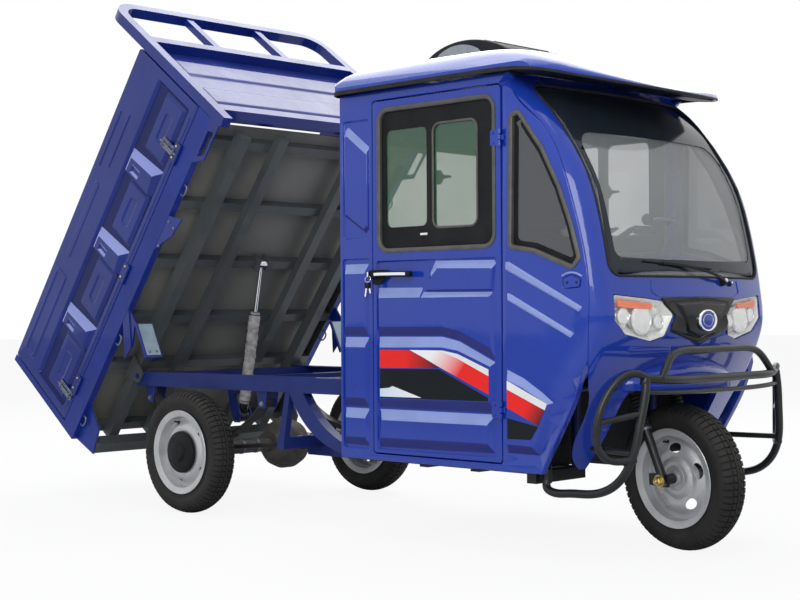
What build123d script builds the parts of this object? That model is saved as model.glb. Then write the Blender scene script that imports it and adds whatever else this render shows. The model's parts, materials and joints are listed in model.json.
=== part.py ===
"""Enclosed cargo motor tricycle with a tipping load bed, in millimetres.

The vehicle points along +X, its left side is +Y and the ground is Z = 0.
It is drawn from a datum under the rear axle, and moved at the end so that the
origin is on the ground at the middle of its box.  The load bed is drawn flat in
its own frame and then tipped about its hinge, and the front fork and wheel are
drawn straight ahead and then turned about the steering axis.
"""
import os
from math import cos, hypot, radians, sin

from build123d import *

# ---------------------------------------------------------------- overall sizes
wheelbase = 2080.0
rear_track = 1060.0

# wheels, 4.00-12 tyres on pressed steel rims
tyre_radius = 255.0
tyre_width = 108.0
rim_seat_radius = 150.0
rim_lip_radius = 173.0
rim_half_width = 48.0
rim_sheet = 4.0
tyre_seat_gap = 0.2
axle_radius = 18.0
hub_radius = 44.0
hub_cap_radius = 86.0
rim_holes = 5
rim_hole_circle = 102.0
rim_hole_radii = (19.0, 30.0)
running_gap = 0.05

# cab
cab_rear_x = 914.0
cab_half_width = 527.0
cab_bottom_z = 289.0
cab_top_z = 1640.0
wall = 30.0
front_shell_thickness = 24.0
floor_thickness = 20.0
front_tip_x = 2158.0
front_plan_radius = 2420.0
front_plan_arc = 34.0
front_corner_radius = 75.0

# doors
door_rear_x = 1085.0
door_front_x = 1706.0
door_bottom_z = 312.0
door_top_z = 1606.0
door_gap = 5.0
door_hinge_proud = 8.0
door_hinge_heights = (496.0, 1421.0)
door_window_x = (1122.0, 1672.0)
door_window_z = (1056.0, 1566.0)
handle_z = 967.0

# glass
window_corner_radius = 42.0
glass_thickness = 5.0
glass_gap = 0.2
glass_inset = 5.0
windscreen_y = 452.0
windscreen_z = (945.0, 1602.0)
rear_window_y = 330.0
rear_window_z = (1090.0, 1480.0)

# nose: the wheel's arch, and the left half of the lamps and the whole grille as (y, z)
arch_half_width = 290.0
arch_top_z = 572.0
lamp_outline = [(446, 884), (300, 872), (205, 862), (160, 815), (196, 742), (262, 726), (392, 752), (448, 800)]
grille_outline = [(0, 868), (196, 858), (150, 812), (188, 745), (60, 728), (0, 706), (-60, 728), (-188, 745),
                  (-150, 812), (-196, 858)]
lamp_depth = 58.0
grille_depth = 13.0
fender_radii = (202.0, 330.0, 105.0)
fender_sheet = 8.0
fender_centre_x = 1990.0

# roof
roof_half_width = 560.0
roof_rear_x = 889.0
roof_rise = 156.0
roof_skirt = 80.0
roof_thickness = 12.0
visor_tip_x = 2085.0
visor_corner_x = 1862.0
hatch_x = (1040.0, 1480.0)
hatch_half_width = 200.0
hatch_height = 94.0

# inside the cab
firewall_foot_x = 1728.0
firewall_top_z = 860.0
firewall_sheet = 10.0
dash_z = (892.0, 938.0)
dash_hood_height = 60.0
seat_x = (960.0, 1420.0)
seat_half_width = 400.0
seat_box_top_z = 610.0
seat_box_sheet = 14.0
cushion_top_z = 700.0
backrest_z = (720.0, 1060.0)
backrest_thickness = 70.0
pad_rounding = 24.0

# small gap where one piece rests on or against another
seat_gap = 0.3

# chassis
rail_top_z = 577.0
rail_height = 62.0
rail_outer_y = 470.0
rail_flange = 50.0
rail_sheet = 6.0
rail_rear_x = -440.0
beam_y = 230.0
beam_width = 46.0
beam_height = 40.0
beam_x = (430.0, 1812.0)
tie_height = 46.0
outrigger_y = 480.0

# leaf springs and rear axle
hanger_x = 372.0
spring_eye_z = 463.0
spring_y = 420.0
spring_width = 48.0
spring_seat_z = 286.0
spring_eye_radius = 16.0
spring_pin_radius = 6.0
hanger_sheet = 6.0
leaf_thickness = 8.0
leaf_shares = (1.0, 0.72, 0.44)
axle_tube_radius = 29.0
drive_housing_radius = 108.0
brake_plate_radius = 92.0

# engine block and drive shaft
engine_x = (997.0, 1380.0)
engine_half_width = 180.0
engine_z = (262.0, 590.0)
shaft_radius = 16.0
shaft_over_axle = 7.0
shaft_front_z = 268.0

# tipping bed, in its own frame: X forward from the rear edge, Z up from the side's foot
bed_length = 1716.0
bed_half_width = 617.0
side_height = 547.0
rack_height = 875.0
bed_tip_angle = 53.4
bed_hinge_x = -420.0
bed_hinge_z = 557.0
hinge_in_bed_x = 416.0
hinge_in_bed_z = -118.0
bed_floor_sheet = 6.0
gate_thickness = 30.0
bed_rail_y = 445.0
bed_rail_width = 50.0
bed_rail_height = 52.0
cross_height = 40.0
cross_half_width = 20.0
inner_rail_y = (200.0, 250.0)
hinge_pin_radius = 12.0
hinge_ear_sheet = 12.0
hinge_side_gap = 2.0
sill_top = 56.0
sill_low = -36.0
side_gap = 4.0

# drop sides, tailgate and headboard, in the bed's frame
gate_x = (36.0, 1664.0)
gate_low_gap = 5.0
gate_hinge_proud = 7.0
gate_hinge_x = (226.0, 832.0, 1436.0)
stake_x = (480.0, 887.0, 1287.0)
tailgate_axis_x = 15.0
tailgate_axis_z = 520.0
tailgate_pin_radius = 6.0
tailgate_side_gap = 6.0
tailgate_thickness = 26.0
rack_tube = 44.0
headboard_top = 565.0
headboard_sheet = 34.0

# lifting ram
ram_foot_x = -287.0
ram_foot_z = 360.0
ram_eye_in_bed_x = 974.0
ram_eye_in_bed_z = -38.0
ram_barrel_radius = 20.0
ram_barrel_length = 400.0
ram_rod_radius = 8.0
ram_eye_radius = 20.0
ram_eye_half_width = 20.0
ram_pin_radius = 9.0
ram_sleeve_low = 60.0
ram_sleeve_top = 466.0
ram_sleeve_thickness = 3.0
clevis_gap = 52.0
clevis_sheet = 8.0

# steering
rake = 22.0
fork_offset = 45.0
fork_leg_y = 96.0
fork_leg_radius = 16.0
rest_steer = -10.0
steer_limit = 40.0
crown_at = 378.0
bar_at = 880.0
head_low = 425.0
head_high = 560.0
head_radius = 27.0
stem_radius = 15.0
head_arm_x = 1790.0
grip_radius = 17.0

# front bumper
bumper_tube_radius = 14.0
bumper_z = 616.0
bumper_pad_z = (252.0, 288.0)


# ---------------------------------------------------------------- small helpers
def plate_xz(points, y_low, y_high):
    """A flat plate whose outline is in XZ and whose thickness runs along Y."""
    outline = Polyline([(x, y_low, z) for x, z in points], close=True)
    return extrude(make_face(outline), amount=y_high - y_low, dir=(0, 1, 0))


def prism_along_x(points, x_low, x_high, gap=0.0):
    """A prism along X through an outline in YZ, made smaller all round by gap."""
    face = make_face(Polyline([(x_low, y, z) for y, z in points], close=True))
    if gap:
        face = offset(face, amount=-gap, kind=Kind.INTERSECTION)
    return extrude(face, amount=x_high - x_low, dir=(1, 0, 0))


def block(x, y, z):
    """A box from its lowest and highest X, Y and Z."""
    size = (x[1] - x[0], y[1] - y[0], z[1] - z[0])
    centre = ((x[0] + x[1]) / 2, (y[0] + y[1]) / 2, (z[0] + z[1]) / 2)
    return Pos(*centre) * Box(*size)


def around(centre, half):
    """The low and high ends of a span about its centre."""
    return (centre - half, centre + half)


def grown(span, by):
    """A span made longer at both ends."""
    return (span[0] - by, span[1] + by)


def rounded_window_xz(x, z, y, radius):
    """A rounded rectangle cutter that runs along Y."""
    cutter = block(x, y, z)
    return fillet(cutter.edges().filter_by(Axis.Y), radius)


def rounded_window_yz(y, z, x, radius):
    """A rounded rectangle cutter that runs along X."""
    cutter = block(x, y, z)
    return fillet(cutter.edges().filter_by(Axis.X), radius)


def tube(points, radius, bend):
    """A round bar along a path of straight runs joined by bends."""
    path = FilletPolyline(*points, radius=bend) if len(points) > 2 else Line(*points)
    section = Plane(origin=path @ 0, z_dir=path % 0) * Circle(radius)
    return sweep(section, path=path)


def rod(start, end, radius):
    """A round bar between two points."""
    return tube([start, end], radius, 0)


def pin_along_y(x, y, z, radius):
    """A round pin or bore that runs along Y between two values."""
    return rod((x, y[0], z), (x, y[1], z), radius)


def across(shape):
    """The shape and its mirror image on the other side of the vehicle."""
    return shape + mirror(shape, about=Plane.XZ)


def sided(shape, side):
    """The shape on its own side: side is +1 on the left and -1 on the right."""
    return shape if side > 0 else mirror(shape, about=Plane.XZ)


def turned(profile_points):
    """A ring about the Y axis from (radius, axial) points."""
    outline = Polyline([(r, a, 0) for r, a in profile_points], close=True)
    return revolve(make_face(outline), axis=Axis.Y)


def closed_face(curves):
    """A face inside edges that meet end to end."""
    return Face(Wire([edge for curve in curves for edge in curve.edges()]))


# ---------------------------------------------------------------- placements
bed_pivot = (bed_hinge_x, 0, bed_hinge_z)
bed_place = Pos(*bed_pivot) * Rot(0, -bed_tip_angle, 0) * Pos(-hinge_in_bed_x, 0, -hinge_in_bed_z)
bed_inner_y = bed_half_width - gate_thickness - side_gap
rail_low_z = rail_top_z - rail_height
rail_inner_y = rail_outer_y - rail_sheet

rake_dir = (-sin(radians(rake)), 0, cos(radians(rake)))
steer_foot_x = wheelbase - fork_offset * cos(radians(rake))
steer_foot_z = tyre_radius - fork_offset * sin(radians(rake))
steer_foot = (steer_foot_x, 0, steer_foot_z)
steer_axis = Axis(steer_foot, rake_dir)


def bed_point(x, z):
    """A point of the bed's centre plane with the bed tipped."""
    dx, dz = x - hinge_in_bed_x, z - hinge_in_bed_z
    c, s = cos(radians(bed_tip_angle)), sin(radians(bed_tip_angle))
    return Vector(bed_hinge_x + dx * c - dz * s, 0, bed_hinge_z + dx * s + dz * c)


def along_fork(distance, behind=0.0, y=0.0):
    """A point up the fork leg line from the front axle, set back square to it."""
    x = wheelbase + rake_dir[0] * distance - cos(radians(rake)) * behind
    z = tyre_radius + rake_dir[2] * distance - sin(radians(rake)) * behind
    return (x, y, z)


def steered(shape):
    """The front assembly's shape, turned from straight ahead to its rest angle."""
    return shape.rotate(steer_axis, rest_steer)


# ---------------------------------------------------------------- wheels
def tyre():
    """A tyre about the Y axis at the origin: a round shouldered ring."""
    half = tyre_width / 2
    bead = rim_seat_radius + tyre_seat_gap
    bead_half = rim_half_width - 10
    shoulder = tyre_radius - 14
    widest = (rim_lip_radius + 4 + shoulder) / 2
    flank = [(bead, bead_half), (rim_lip_radius + 4, half - 9), (widest, half), (shoulder, half - 10)]
    bottom = Line((bead, -bead_half, 0), (bead, bead_half, 0))
    left = Spline([(r, a, 0) for r, a in flank])
    tread = ThreePointArc((shoulder, half - 10, 0), (tyre_radius, 0, 0), (shoulder, 10 - half, 0))
    right = Spline([(r, -a, 0) for r, a in reversed(flank)])
    return revolve(closed_face([bottom, left, tread, right]), axis=Axis.Y)


def rim(outer_side, with_cap):
    """A pressed steel rim about the Y axis, its dish facing outer_side (+1 or -1)."""
    s = outer_side
    inner = rim_seat_radius - rim_sheet
    flange = rim_half_width - 7
    barrel = turned([(rim_seat_radius, -flange), (rim_seat_radius, flange), (inner, flange), (inner, -flange)])
    lip = turned([
        (inner, flange),
        (rim_seat_radius, flange),
        (rim_seat_radius + 5, flange + 1.5),
        (rim_lip_radius, flange + 8),
        (rim_lip_radius, flange + 12),
        (rim_seat_radius + 2, flange + 6),
        (inner, flange + 4),
    ])
    dish = turned([
        (inner, s * 14),
        (inner, s * 18),
        (132, s * 17),
        (112, s * 30),
        (84, s * 36),
        (64, s * 30),
        (hub_radius - 2, s * 34),
        (hub_radius - 2, s * 28),
        (64, s * 26),
        (84, s * 31),
        (110, s * 25),
        (131, s * 12),
    ])
    hub = turned([(axle_radius, s * -42), (hub_radius, s * -42), (hub_radius, s * 38), (axle_radius, s * 38)])
    wheel = barrel + lip + mirror(lip, about=Plane.XZ) + dish
    if with_cap:
        cap = turned([
            (0, s * 40),
            (hub_radius, s * 30.5),
            (hub_cap_radius, s * 36),
            (hub_cap_radius, s * 46),
            (hub_cap_radius - 10, s * 56),
            (40, s * 62),
            (34, s * 68),
            (0, s * 70),
        ])
        return wheel + hub + cap
    hole = Pos(rim_hole_circle, 0, 0) * Rot(90, 0, 0) * extrude(Ellipse(*rim_hole_radii), amount=90, both=True)
    for turn in range(rim_holes):
        wheel = wheel - Rot(0, 360 / rim_holes * turn + 18, 0) * hole
    return wheel + hub


def rear_wheel_nodes(side_name, side):
    """Tyre and rim of one rear wheel; side is +1 on the left."""
    place = Pos(0, side * rear_track / 2, tyre_radius)
    return {
        "rear_tyre_" + side_name: place * tyre(),
        "rear_rim_" + side_name: place * rim(side, True),
    }


# ---------------------------------------------------------------- chassis
def chassis_rails():
    """Two C rails with their cross members and the bed's hinge tube."""
    outer = rail_outer_y
    web = block((rail_rear_x, cab_rear_x), (rail_inner_y, outer), (rail_low_z, rail_top_z))
    flange = block((rail_rear_x, cab_rear_x), (outer - rail_flange, outer), (rail_low_z, rail_low_z + rail_sheet))
    rail = web + flange + Pos(0, 0, rail_height - rail_sheet) * flange
    # the top corner behind the hinge is cut off, so that the tipped bed clears it
    corner = [(rail_rear_x - 5, rail_top_z - 18), (rail_rear_x + 22, rail_top_z + 1),
              (rail_rear_x - 5, rail_top_z + 1)]
    rails = across(rail - plate_xz(corner, 0, outer + 5))
    for x, half_depth in ((-395, 20), (-345, 15), (250, 20), (640, 20)):
        cross_z = grown((rail_low_z, rail_top_z), -rail_sheet)
        rails = rails + block(around(x, half_depth), around(0, rail_inner_y), cross_z)
    return rails + pin_along_y(bed_hinge_x, around(0, outer + 18), bed_hinge_z, hinge_pin_radius)


def lower_frame():
    """Beams under the cab floor with the ties, cradle bars and outriggers on them."""
    beam_z = (cab_bottom_z - beam_height, cab_bottom_z)
    tie_z = (cab_bottom_z, cab_bottom_z + tie_height)
    frame = across(block(beam_x, around(beam_y, beam_width / 2), beam_z))
    frame = frame + block((cab_rear_x - tie_height, cab_rear_x), around(0, rail_inner_y), tie_z)
    frame = frame + block((480, 520), around(0, rail_inner_y), tie_z)
    for x in (1060, 1320):
        frame = frame + block(around(x, 22), around(0, beam_y), (beam_z[0] - 12, engine_z[0] - seat_gap))
    outrigger = block((beam_x[1] - 40, beam_x[1]), (beam_y, outrigger_y), beam_z)
    return frame + across(outrigger)


def rail_braces():
    """Curved gussets and posts that join the rails to the lower frame."""
    y = (rail_outer_y - 44, rail_outer_y)
    foot_x = cab_rear_x - tie_height
    outer = Spline((560, y[0], rail_low_z), (650, y[0], 395), (foot_x, y[0], cab_bottom_z + 2))
    inner = Spline((foot_x, y[0], cab_bottom_z + 44), (745, y[0], 400), (640, y[0], rail_low_z))
    outline = closed_face([outer, Line(outer @ 1, inner @ 0), inner, Line(inner @ 1, outer @ 0)])
    gusset = extrude(outline, amount=y[1] - y[0], dir=(0, 1, 0))
    post = plate_xz([(528, rail_low_z), (556, rail_low_z), (518, cab_bottom_z + 20), (484, cab_bottom_z + 20)],
                    rail_outer_y - 34, rail_outer_y - 6)
    return across(gusset) + across(post)


def spring_hanger(x):
    """Two ears and a pin that hold one eye of the left spring."""
    half = spring_width / 2 + 1
    outline = [(x - 34, rail_low_z + 2), (x + 34, rail_low_z + 2), (x + 20, spring_eye_z - 18),
               (x - 20, spring_eye_z - 18)]
    inner = plate_xz(outline, spring_y - half - hanger_sheet, spring_y - half)
    outer = plate_xz(outline, spring_y + half, spring_y + half + hanger_sheet)
    return inner + outer + pin_along_y(x, around(spring_y, half + 8), spring_eye_z, spring_pin_radius)


def ram_foot():
    """Two ears and a pin under the rear cross members, for the ram's foot."""
    outline = [(-360, rail_low_z + 10), (-330, rail_low_z + 10), (ram_foot_x + 25, ram_foot_z + 10),
               (ram_foot_x + 17, ram_foot_z - 26), (ram_foot_x - 17, ram_foot_z - 26), (-330, ram_foot_z + 30)]
    ears = across(plate_xz(outline, clevis_gap / 2 + 1, clevis_gap / 2 + 1 + clevis_sheet))
    return ears + pin_along_y(ram_foot_x, around(0, clevis_gap / 2 + 14), ram_foot_z, ram_pin_radius)


def chassis_frame():
    """Upper rails, lower frame, braces, spring hangers and the ram's foot, as one weldment."""
    frame = chassis_rails() + lower_frame() + rail_braces() + ram_foot()
    for x in (hanger_x, -hanger_x):
        frame = frame + across(spring_hanger(x))
    return frame


def leaf_springs():
    """One three-leaf spring each side, eye to eye over the axle."""
    y_low = spring_y - spring_width / 2
    drop = spring_eye_z - spring_seat_z
    spring = None
    for index, share in enumerate(leaf_shares):
        half = (hanger_x - 6) * share
        rise = (drop - 6) * share * share
        base = spring_seat_z + leaf_thickness * (len(leaf_shares) - 1 - index)
        top = base + leaf_thickness
        low = ThreePointArc((-half, y_low, base + rise), (0, y_low, base), (half, y_low, base + rise))
        high = ThreePointArc((half, y_low, top + rise), (0, y_low, top), (-half, y_low, top + rise))
        outline = closed_face([low, Line(low @ 1, high @ 0), high, Line(high @ 1, low @ 0)])
        leaf = extrude(outline, amount=spring_width, dir=(0, 1, 0))
        spring = leaf if spring is None else spring + leaf
    bore_radius = spring_pin_radius + running_gap
    for x in (hanger_x, -hanger_x):
        spring = spring + pin_along_y(x, around(spring_y, spring_width / 2), spring_eye_z, spring_eye_radius)
        spring = spring - pin_along_y(x, around(spring_y, spring_width), spring_eye_z, bore_radius)
    return across(spring)


def rear_axle():
    """Axle tube with its final drive housing, brake plates, spring seats and stub ends."""
    half_track = rear_track / 2
    end = half_track - 68
    r = drive_housing_radius
    axle = turned([(0, -end), (axle_tube_radius, -end), (axle_tube_radius, end), (0, end)])
    housing = turned([(0, -95), (60, -95), (r - 16, -62), (r, -24), (r, 24), (r - 16, 62), (60, 95), (0, 95)])
    nose = Pos(70, 0, 0) * Rot(0, 90, 0) * Cone(72, 44, 110)
    plates = turned([(0, end - 6), (brake_plate_radius, end - 6), (brake_plate_radius, end + 8), (0, end + 8)])
    stub_radius = axle_radius - running_gap
    stub = turned([(0, end), (stub_radius, end), (stub_radius, half_track + 28), (0, half_track + 28)])
    seat = block(around(0, 50), around(spring_y, spring_width / 2 + 2), (0, spring_seat_z - tyre_radius))
    return Pos(0, 0, tyre_radius) * (axle + housing + nose + across(plates + stub + seat))


def prop_shaft():
    """Drive shaft from the engine to the final drive, with a joint at each end."""
    rear_x, front_x = 126, engine_x[0] - seat_gap
    low, high = tyre_radius + shaft_over_axle, shaft_front_z
    shaft = rod((rear_x + 24, 0, low), (front_x - 26, 0, high), shaft_radius)
    rear_joint = rod((rear_x, 0, low), (rear_x + 50, 0, low + 0.3), shaft_radius + 10)
    front_joint = rod((front_x - 50, 0, high - 0.3), (front_x, 0, high), shaft_radius + 4.5)
    return shaft + rear_joint + front_joint


def engine():
    """The engine and gearbox, closed in under the seat, as one plain block."""
    return chamfer(block(engine_x, around(0, engine_half_width), engine_z).edges(), 18)


def steering_head():
    """Tube that carries the fork stem, with arms down to the lower beams."""
    head = rod(along_fork(head_low, fork_offset), along_fork(head_high, fork_offset), head_radius)
    middle = along_fork((head_low + head_high) / 2, fork_offset)
    arm = tube([middle, (head_arm_x, beam_y, 620), (head_arm_x, beam_y, cab_bottom_z)], 17, 60)
    tie = pin_along_y(head_arm_x, around(0, beam_y), 560, 14)
    bore_ends = (along_fork(head_low - 5, fork_offset), along_fork(head_high + 5, fork_offset))
    return head + across(arm) + tie - rod(*bore_ends, stem_radius + running_gap)


# ---------------------------------------------------------------- cab shell
def front_profile(inset):
    """Side outline of the cab with its curved front edge, set in by inset, as a face at y = 0."""
    spare = 60 if inset else 0
    top = cab_top_z + spare
    low = cab_bottom_z - spare
    rear = cab_rear_x + inset
    # windscreen slope, nose and the receding chin
    edge = [(1806, 1612), (1892, 1530), (1990, 1405), (2062, 1281), (2108, 1137), (2136, 1000), (2153, 880),
            (front_tip_x, 800), (2140, 720), (2096, 620), (2034, 500), (1962, 380)]
    moved = []
    for i, (x, z) in enumerate(edge):
        before = edge[max(i - 1, 0)]
        after = edge[min(i + 1, len(edge) - 1)]
        dx, dz = after[0] - before[0], after[1] - before[1]
        size = hypot(dx, dz)
        moved.append((x + inset * dz / size, z - inset * dx / size))
    head = (1775 - inset, top)
    foot = (1895 - inset, low)
    front = Spline([(x, 0, z) for x, z in [head] + moved + [foot]])
    sides = Polyline((foot[0], 0, foot[1]), (rear, 0, low), (rear, 0, top), (head[0], 0, head[1]))
    return closed_face([front, sides])


def cab_solid(inset):
    """The whole cab as a filled body, set in from the outer skin by inset."""
    spare = 60 if inset else 0
    upright = Axis((front_tip_x - front_plan_radius, 0, 0), (0, 0, 1))
    # the outline swings about an upright axis far behind, which bows the front in plan
    fan = revolve(front_profile(inset), axis=upright, revolution_arc=front_plan_arc)
    fan = fan.rotate(upright, -front_plan_arc / 2)
    half = cab_half_width - inset
    rear = cab_rear_x + inset
    body = fan & block((rear, 2300), around(0, half), (cab_bottom_z - 80, cab_top_z + 80))
    body = body + block((rear, 1700), around(0, half), (cab_bottom_z - spare, cab_top_z + spare))
    upright_edges = [e for e in body.edges() if abs(abs(e.center().Y) - half) < 2 and e.length > 500]
    return fillet([e for e in upright_edges if e.center().X > 1760], front_corner_radius - inset)


def seam_region():
    """Everything in front of the seam between the cab side and the front shell."""
    y = -700
    curve = Spline((1716, y, 1700), (1757, y, 1569), (1862, y, 1467), (1947, y, 1344), (2021, y, 1141),
                   (2064, y, 942), (2066, y, 771), (2012, y, 541), (1918, y, 373), (1840, y, 220))
    rest = Polyline((1840, y, 220), (2400, y, 220), (2400, y, 1700), (1716, y, 1700))
    return extrude(closed_face([curve, rest]), amount=-2 * y, dir=(0, 1, 0))


def screen_cutter(gap):
    """The windscreen opening as a prism along X, made smaller all round by gap."""
    return rounded_window_yz(around(0, windscreen_y - gap), grown(windscreen_z, -gap), (1700, 2300), 46)


def lamp_cutter(gap):
    """The left headlamp's opening."""
    return prism_along_x(lamp_outline, 1700, 2300, gap)


def grille_cutter(gap):
    """The grille's opening."""
    return prism_along_x(grille_outline, 1700, 2300, gap)


def skin_piece(cutter, outer_inset, inner_inset):
    """What a prism takes out of the cab's front between two depths under its outer skin."""
    return (cab_solid(outer_inset) & cutter) - cab_solid(inner_inset)


def front_shell():
    """Pillars, header, nose and chin in one shell, open to the screen, lamps, grille and wheel."""
    shell = (cab_solid(0) - cab_solid(front_shell_thickness)) & seam_region()
    arch = rounded_window_yz(around(0, arch_half_width), (0, arch_top_z), (1700, 2300), 60)
    return shell - screen_cutter(0) - across(lamp_cutter(0)) - grille_cutter(0) - arch


def headlamps():
    """Two lamp units that fill the openings in the nose."""
    return across(skin_piece(lamp_cutter(glass_gap), 2, 2 + lamp_depth))


def grille():
    """Dark V-shaped panel between the lamps."""
    return skin_piece(grille_cutter(glass_gap), 3, 3 + grille_depth)


def quarter_window(gap, y_low, y_high):
    """The kinked three-cornered window ahead of the door, made smaller all round by gap."""
    outline = [(1744, 1050), (1846, 1034), (2006, 974), (2030, 1004), (2000, 1110), (1950, 1240), (1880, 1370),
               (1780, 1500), (1752, 1490)]
    face = make_face(Polyline([(x, y_low, z) for x, z in outline], close=True))
    if gap:
        face = offset(face, amount=-gap, kind=Kind.INTERSECTION)
    body = extrude(face, amount=y_high - y_low, dir=(0, 1, 0))
    return fillet(body.edges().filter_by(Axis.Y), 9)


def windows():
    """Windscreen, rear window and the two quarter windows: four panes."""
    screen = skin_piece(screen_cutter(glass_gap), glass_inset, glass_inset + glass_thickness)
    quarter = quarter_window(glass_gap, *around(cab_half_width - wall / 2, glass_thickness / 2))
    rear = rounded_window_yz(around(0, rear_window_y - glass_gap), grown(rear_window_z, -glass_gap),
                             around(cab_rear_x + wall / 2, glass_thickness / 2), window_corner_radius)
    return screen + across(quarter) + rear


def cab_side(side):
    """Rear quarter, door surround and front quarter of one side, in one pressed panel."""
    y = (cab_half_width - wall, cab_half_width)
    through = grown(y, 5)
    panel = block((cab_rear_x, 2120), y, (cab_bottom_z, cab_top_z)) - seam_region()
    panel = panel - block((door_rear_x, door_front_x), through, (door_bottom_z, door_top_z))
    panel = panel - quarter_window(0, *through)
    # nothing of the panel stands in front of the filled cab body
    waste = block((1700, 2200), (400, 600), (200, 1700)) - cab_solid(0)
    return sided(panel - waste, side)


def door_panel(side):
    """A door with its window cut, standing in from the opening by the door gap."""
    y = (cab_half_width - wall, cab_half_width)
    panel = block(grown((door_rear_x, door_front_x), -door_gap), y, grown((door_bottom_z, door_top_z), -door_gap))
    panel = panel - rounded_window_xz(door_window_x, door_window_z, grown(y, 5), window_corner_radius)
    # hinge knuckles in front of the panel, on the hinge line
    for z in door_hinge_heights:
        knuckle = Pos(door_front_x, cab_half_width + door_hinge_proud, z) * Cylinder(7, 60)
        leaf = block((door_front_x - 46, door_front_x), (y[1], y[1] + 5), around(z, 28))
        panel = panel + knuckle + leaf
    return sided(panel, side)


def door_glass(side):
    """The door's pane, in the middle of the panel."""
    pane = rounded_window_xz(grown(door_window_x, -glass_gap), grown(door_window_z, -glass_gap),
                             around(cab_half_width - wall / 2, glass_thickness / 2), window_corner_radius)
    return sided(pane, side)


def door_handle(side):
    """A bar handle on two feet, with its lock plate."""
    skin = cab_half_width
    bar_y = skin + 24
    grip = rod((1110, bar_y, handle_z), (1297, bar_y, handle_z), 11)
    for x in (1137, 1275):
        grip = grip + block(around(x, 13), (skin, bar_y + 2), around(handle_z, 10))
    grip = grip + block((1092, 1158), (skin, skin + 6), (handle_z - 37, handle_z + 18))
    return sided(grip, side)


def cab_rear_wall():
    """Bulkhead behind the seat, with the rear window cut."""
    x = (cab_rear_x, cab_rear_x + wall)
    panel = block(x, around(0, cab_half_width - wall), (cab_bottom_z, cab_top_z))
    return panel - rounded_window_yz(around(0, rear_window_y), rear_window_z, grown(x, 5), window_corner_radius)


def cab_floor():
    """Floor pan between the cab sides, cut away over the engine."""
    pan = block((cab_rear_x + wall, firewall_foot_x), around(0, cab_half_width - wall),
                (cab_bottom_z, cab_bottom_z + floor_thickness))
    return pan - block(grown(engine_x, 12), around(0, engine_half_width + 12), (200, 400))


def firewall():
    """Bulkhead between the footwell and the front wheel, cut open round the fork stem."""
    t = firewall_sheet
    outline = [(firewall_foot_x, cab_bottom_z), (firewall_foot_x + t, cab_bottom_z), (1752 + t, 620),
               (1798 + t, firewall_top_z), (1798, firewall_top_z), (1752, 620)]
    panel = plate_xz(outline, *around(0, cab_half_width - wall))
    return panel - rod(along_fork(540, fork_offset), along_fork(760, fork_offset), head_radius + 7)


def dashboard():
    """Shelf under the windscreen with an instrument hood in front of the driver."""
    shelf = cab_solid(front_shell_thickness + seat_gap) & block((1812, 2200), around(0, 490), dash_z)
    hood = block((1872, 1990), around(0, 110), (dash_z[1], dash_z[1] + dash_hood_height))
    return shelf + chamfer(hood.edges().filter_by(Axis.Y), 16)


def seat_box():
    """Hollow box over the engine that carries the seat."""
    outer = block(seat_x, around(0, seat_half_width), (cab_bottom_z + floor_thickness, seat_box_top_z))
    inner = block(grown(seat_x, -seat_box_sheet), around(0, seat_half_width - seat_box_sheet),
                  (cab_bottom_z, seat_box_top_z - seat_box_sheet))
    return outer - inner


def seat():
    """Bench cushion and backrest, plain closed pads."""
    y = around(0, seat_half_width - 6)
    wall_face = cab_rear_x + wall
    cushion = block((seat_x[0] + 62, seat_x[1] + 14), y, (seat_box_top_z + seat_gap, cushion_top_z))
    back = block((wall_face + seat_gap, wall_face + backrest_thickness), y, backrest_z)
    return fillet(cushion.edges(), pad_rounding) + fillet(back.edges(), pad_rounding)


def nose_fender():
    """Peaked half dome that juts out of the nose over the front wheel."""
    base_z = arch_top_z + 8
    reach, half_width, height = (r / 100 for r in fender_radii)
    t = fender_sheet / 100
    ahead = (fender_centre_x - 90, 2300)
    outer = Pos(fender_centre_x, 0, base_z) * scale(Sphere(100), by=(reach, half_width, height))
    inner = Pos(fender_centre_x, 0, base_z) * scale(Sphere(100), by=(reach - t, half_width - t, height - t))
    dome = (outer - inner) & block(ahead, (-400, 400), (base_z, 800))
    lip_outer = Pos(fender_centre_x, 0, base_z - 8) * scale(Cylinder(100, 16), by=(reach, half_width, 1))
    lip_size = (reach - 1.5 * t, half_width - 1.5 * t, 1)
    lip_inner = Pos(fender_centre_x, 0, base_z - 8) * scale(Cylinder(100, 18), by=lip_size)
    lip = (lip_outer - lip_inner) & block(ahead, (-400, 400), (0, 900))
    return dome + lip - cab_solid(0)


# ---------------------------------------------------------------- roof and bumper
def roof_body(inset):
    """The roof as a filled body: a crowned bow cut to its length, set in by inset."""
    half = roof_half_width - inset
    edge = cab_top_z - inset
    low = cab_top_z - (40 if inset else 0)
    foot = cab_top_z - roof_skirt
    crown = Spline((half, edge + 26), (half - 52, edge + 80), (half - 160, edge + 117), (0, edge + roof_rise),
                   (160 - half, edge + 117), (52 - half, edge + 80), (-half, edge + 26))
    sides = Polyline((-half, edge + 26), (-half, foot), (half, foot), (half, edge + 26))
    bow = extrude(Plane.YZ * closed_face([crown, sides]), amount=2300, dir=(1, 0, 0))
    rear = roof_rear_x + inset
    front = 1760 if inset else visor_tip_x
    y = 700
    top = Spline((rear, y, edge + 28), (rear + 36, y, edge + 92), (rear + 150, y, edge + 140),
                 (1280, y, edge + 160), (1560, y, edge + 150), (1740, y, edge + 112), (1930, y, edge + 32),
                 (visor_tip_x, y, edge - 26))
    under = Polyline((visor_tip_x, y, edge - 26), (visor_tip_x, y, edge - 46), (1900, y, cab_top_z - 14),
                     (1776, y, low), (rear, y, low), (rear, y, edge + 28))
    length = extrude(closed_face([top, under]), amount=2 * y, dir=(0, -1, 0))
    return bow & length & block((0, front), (-y, y), (1500, 1900))


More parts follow.
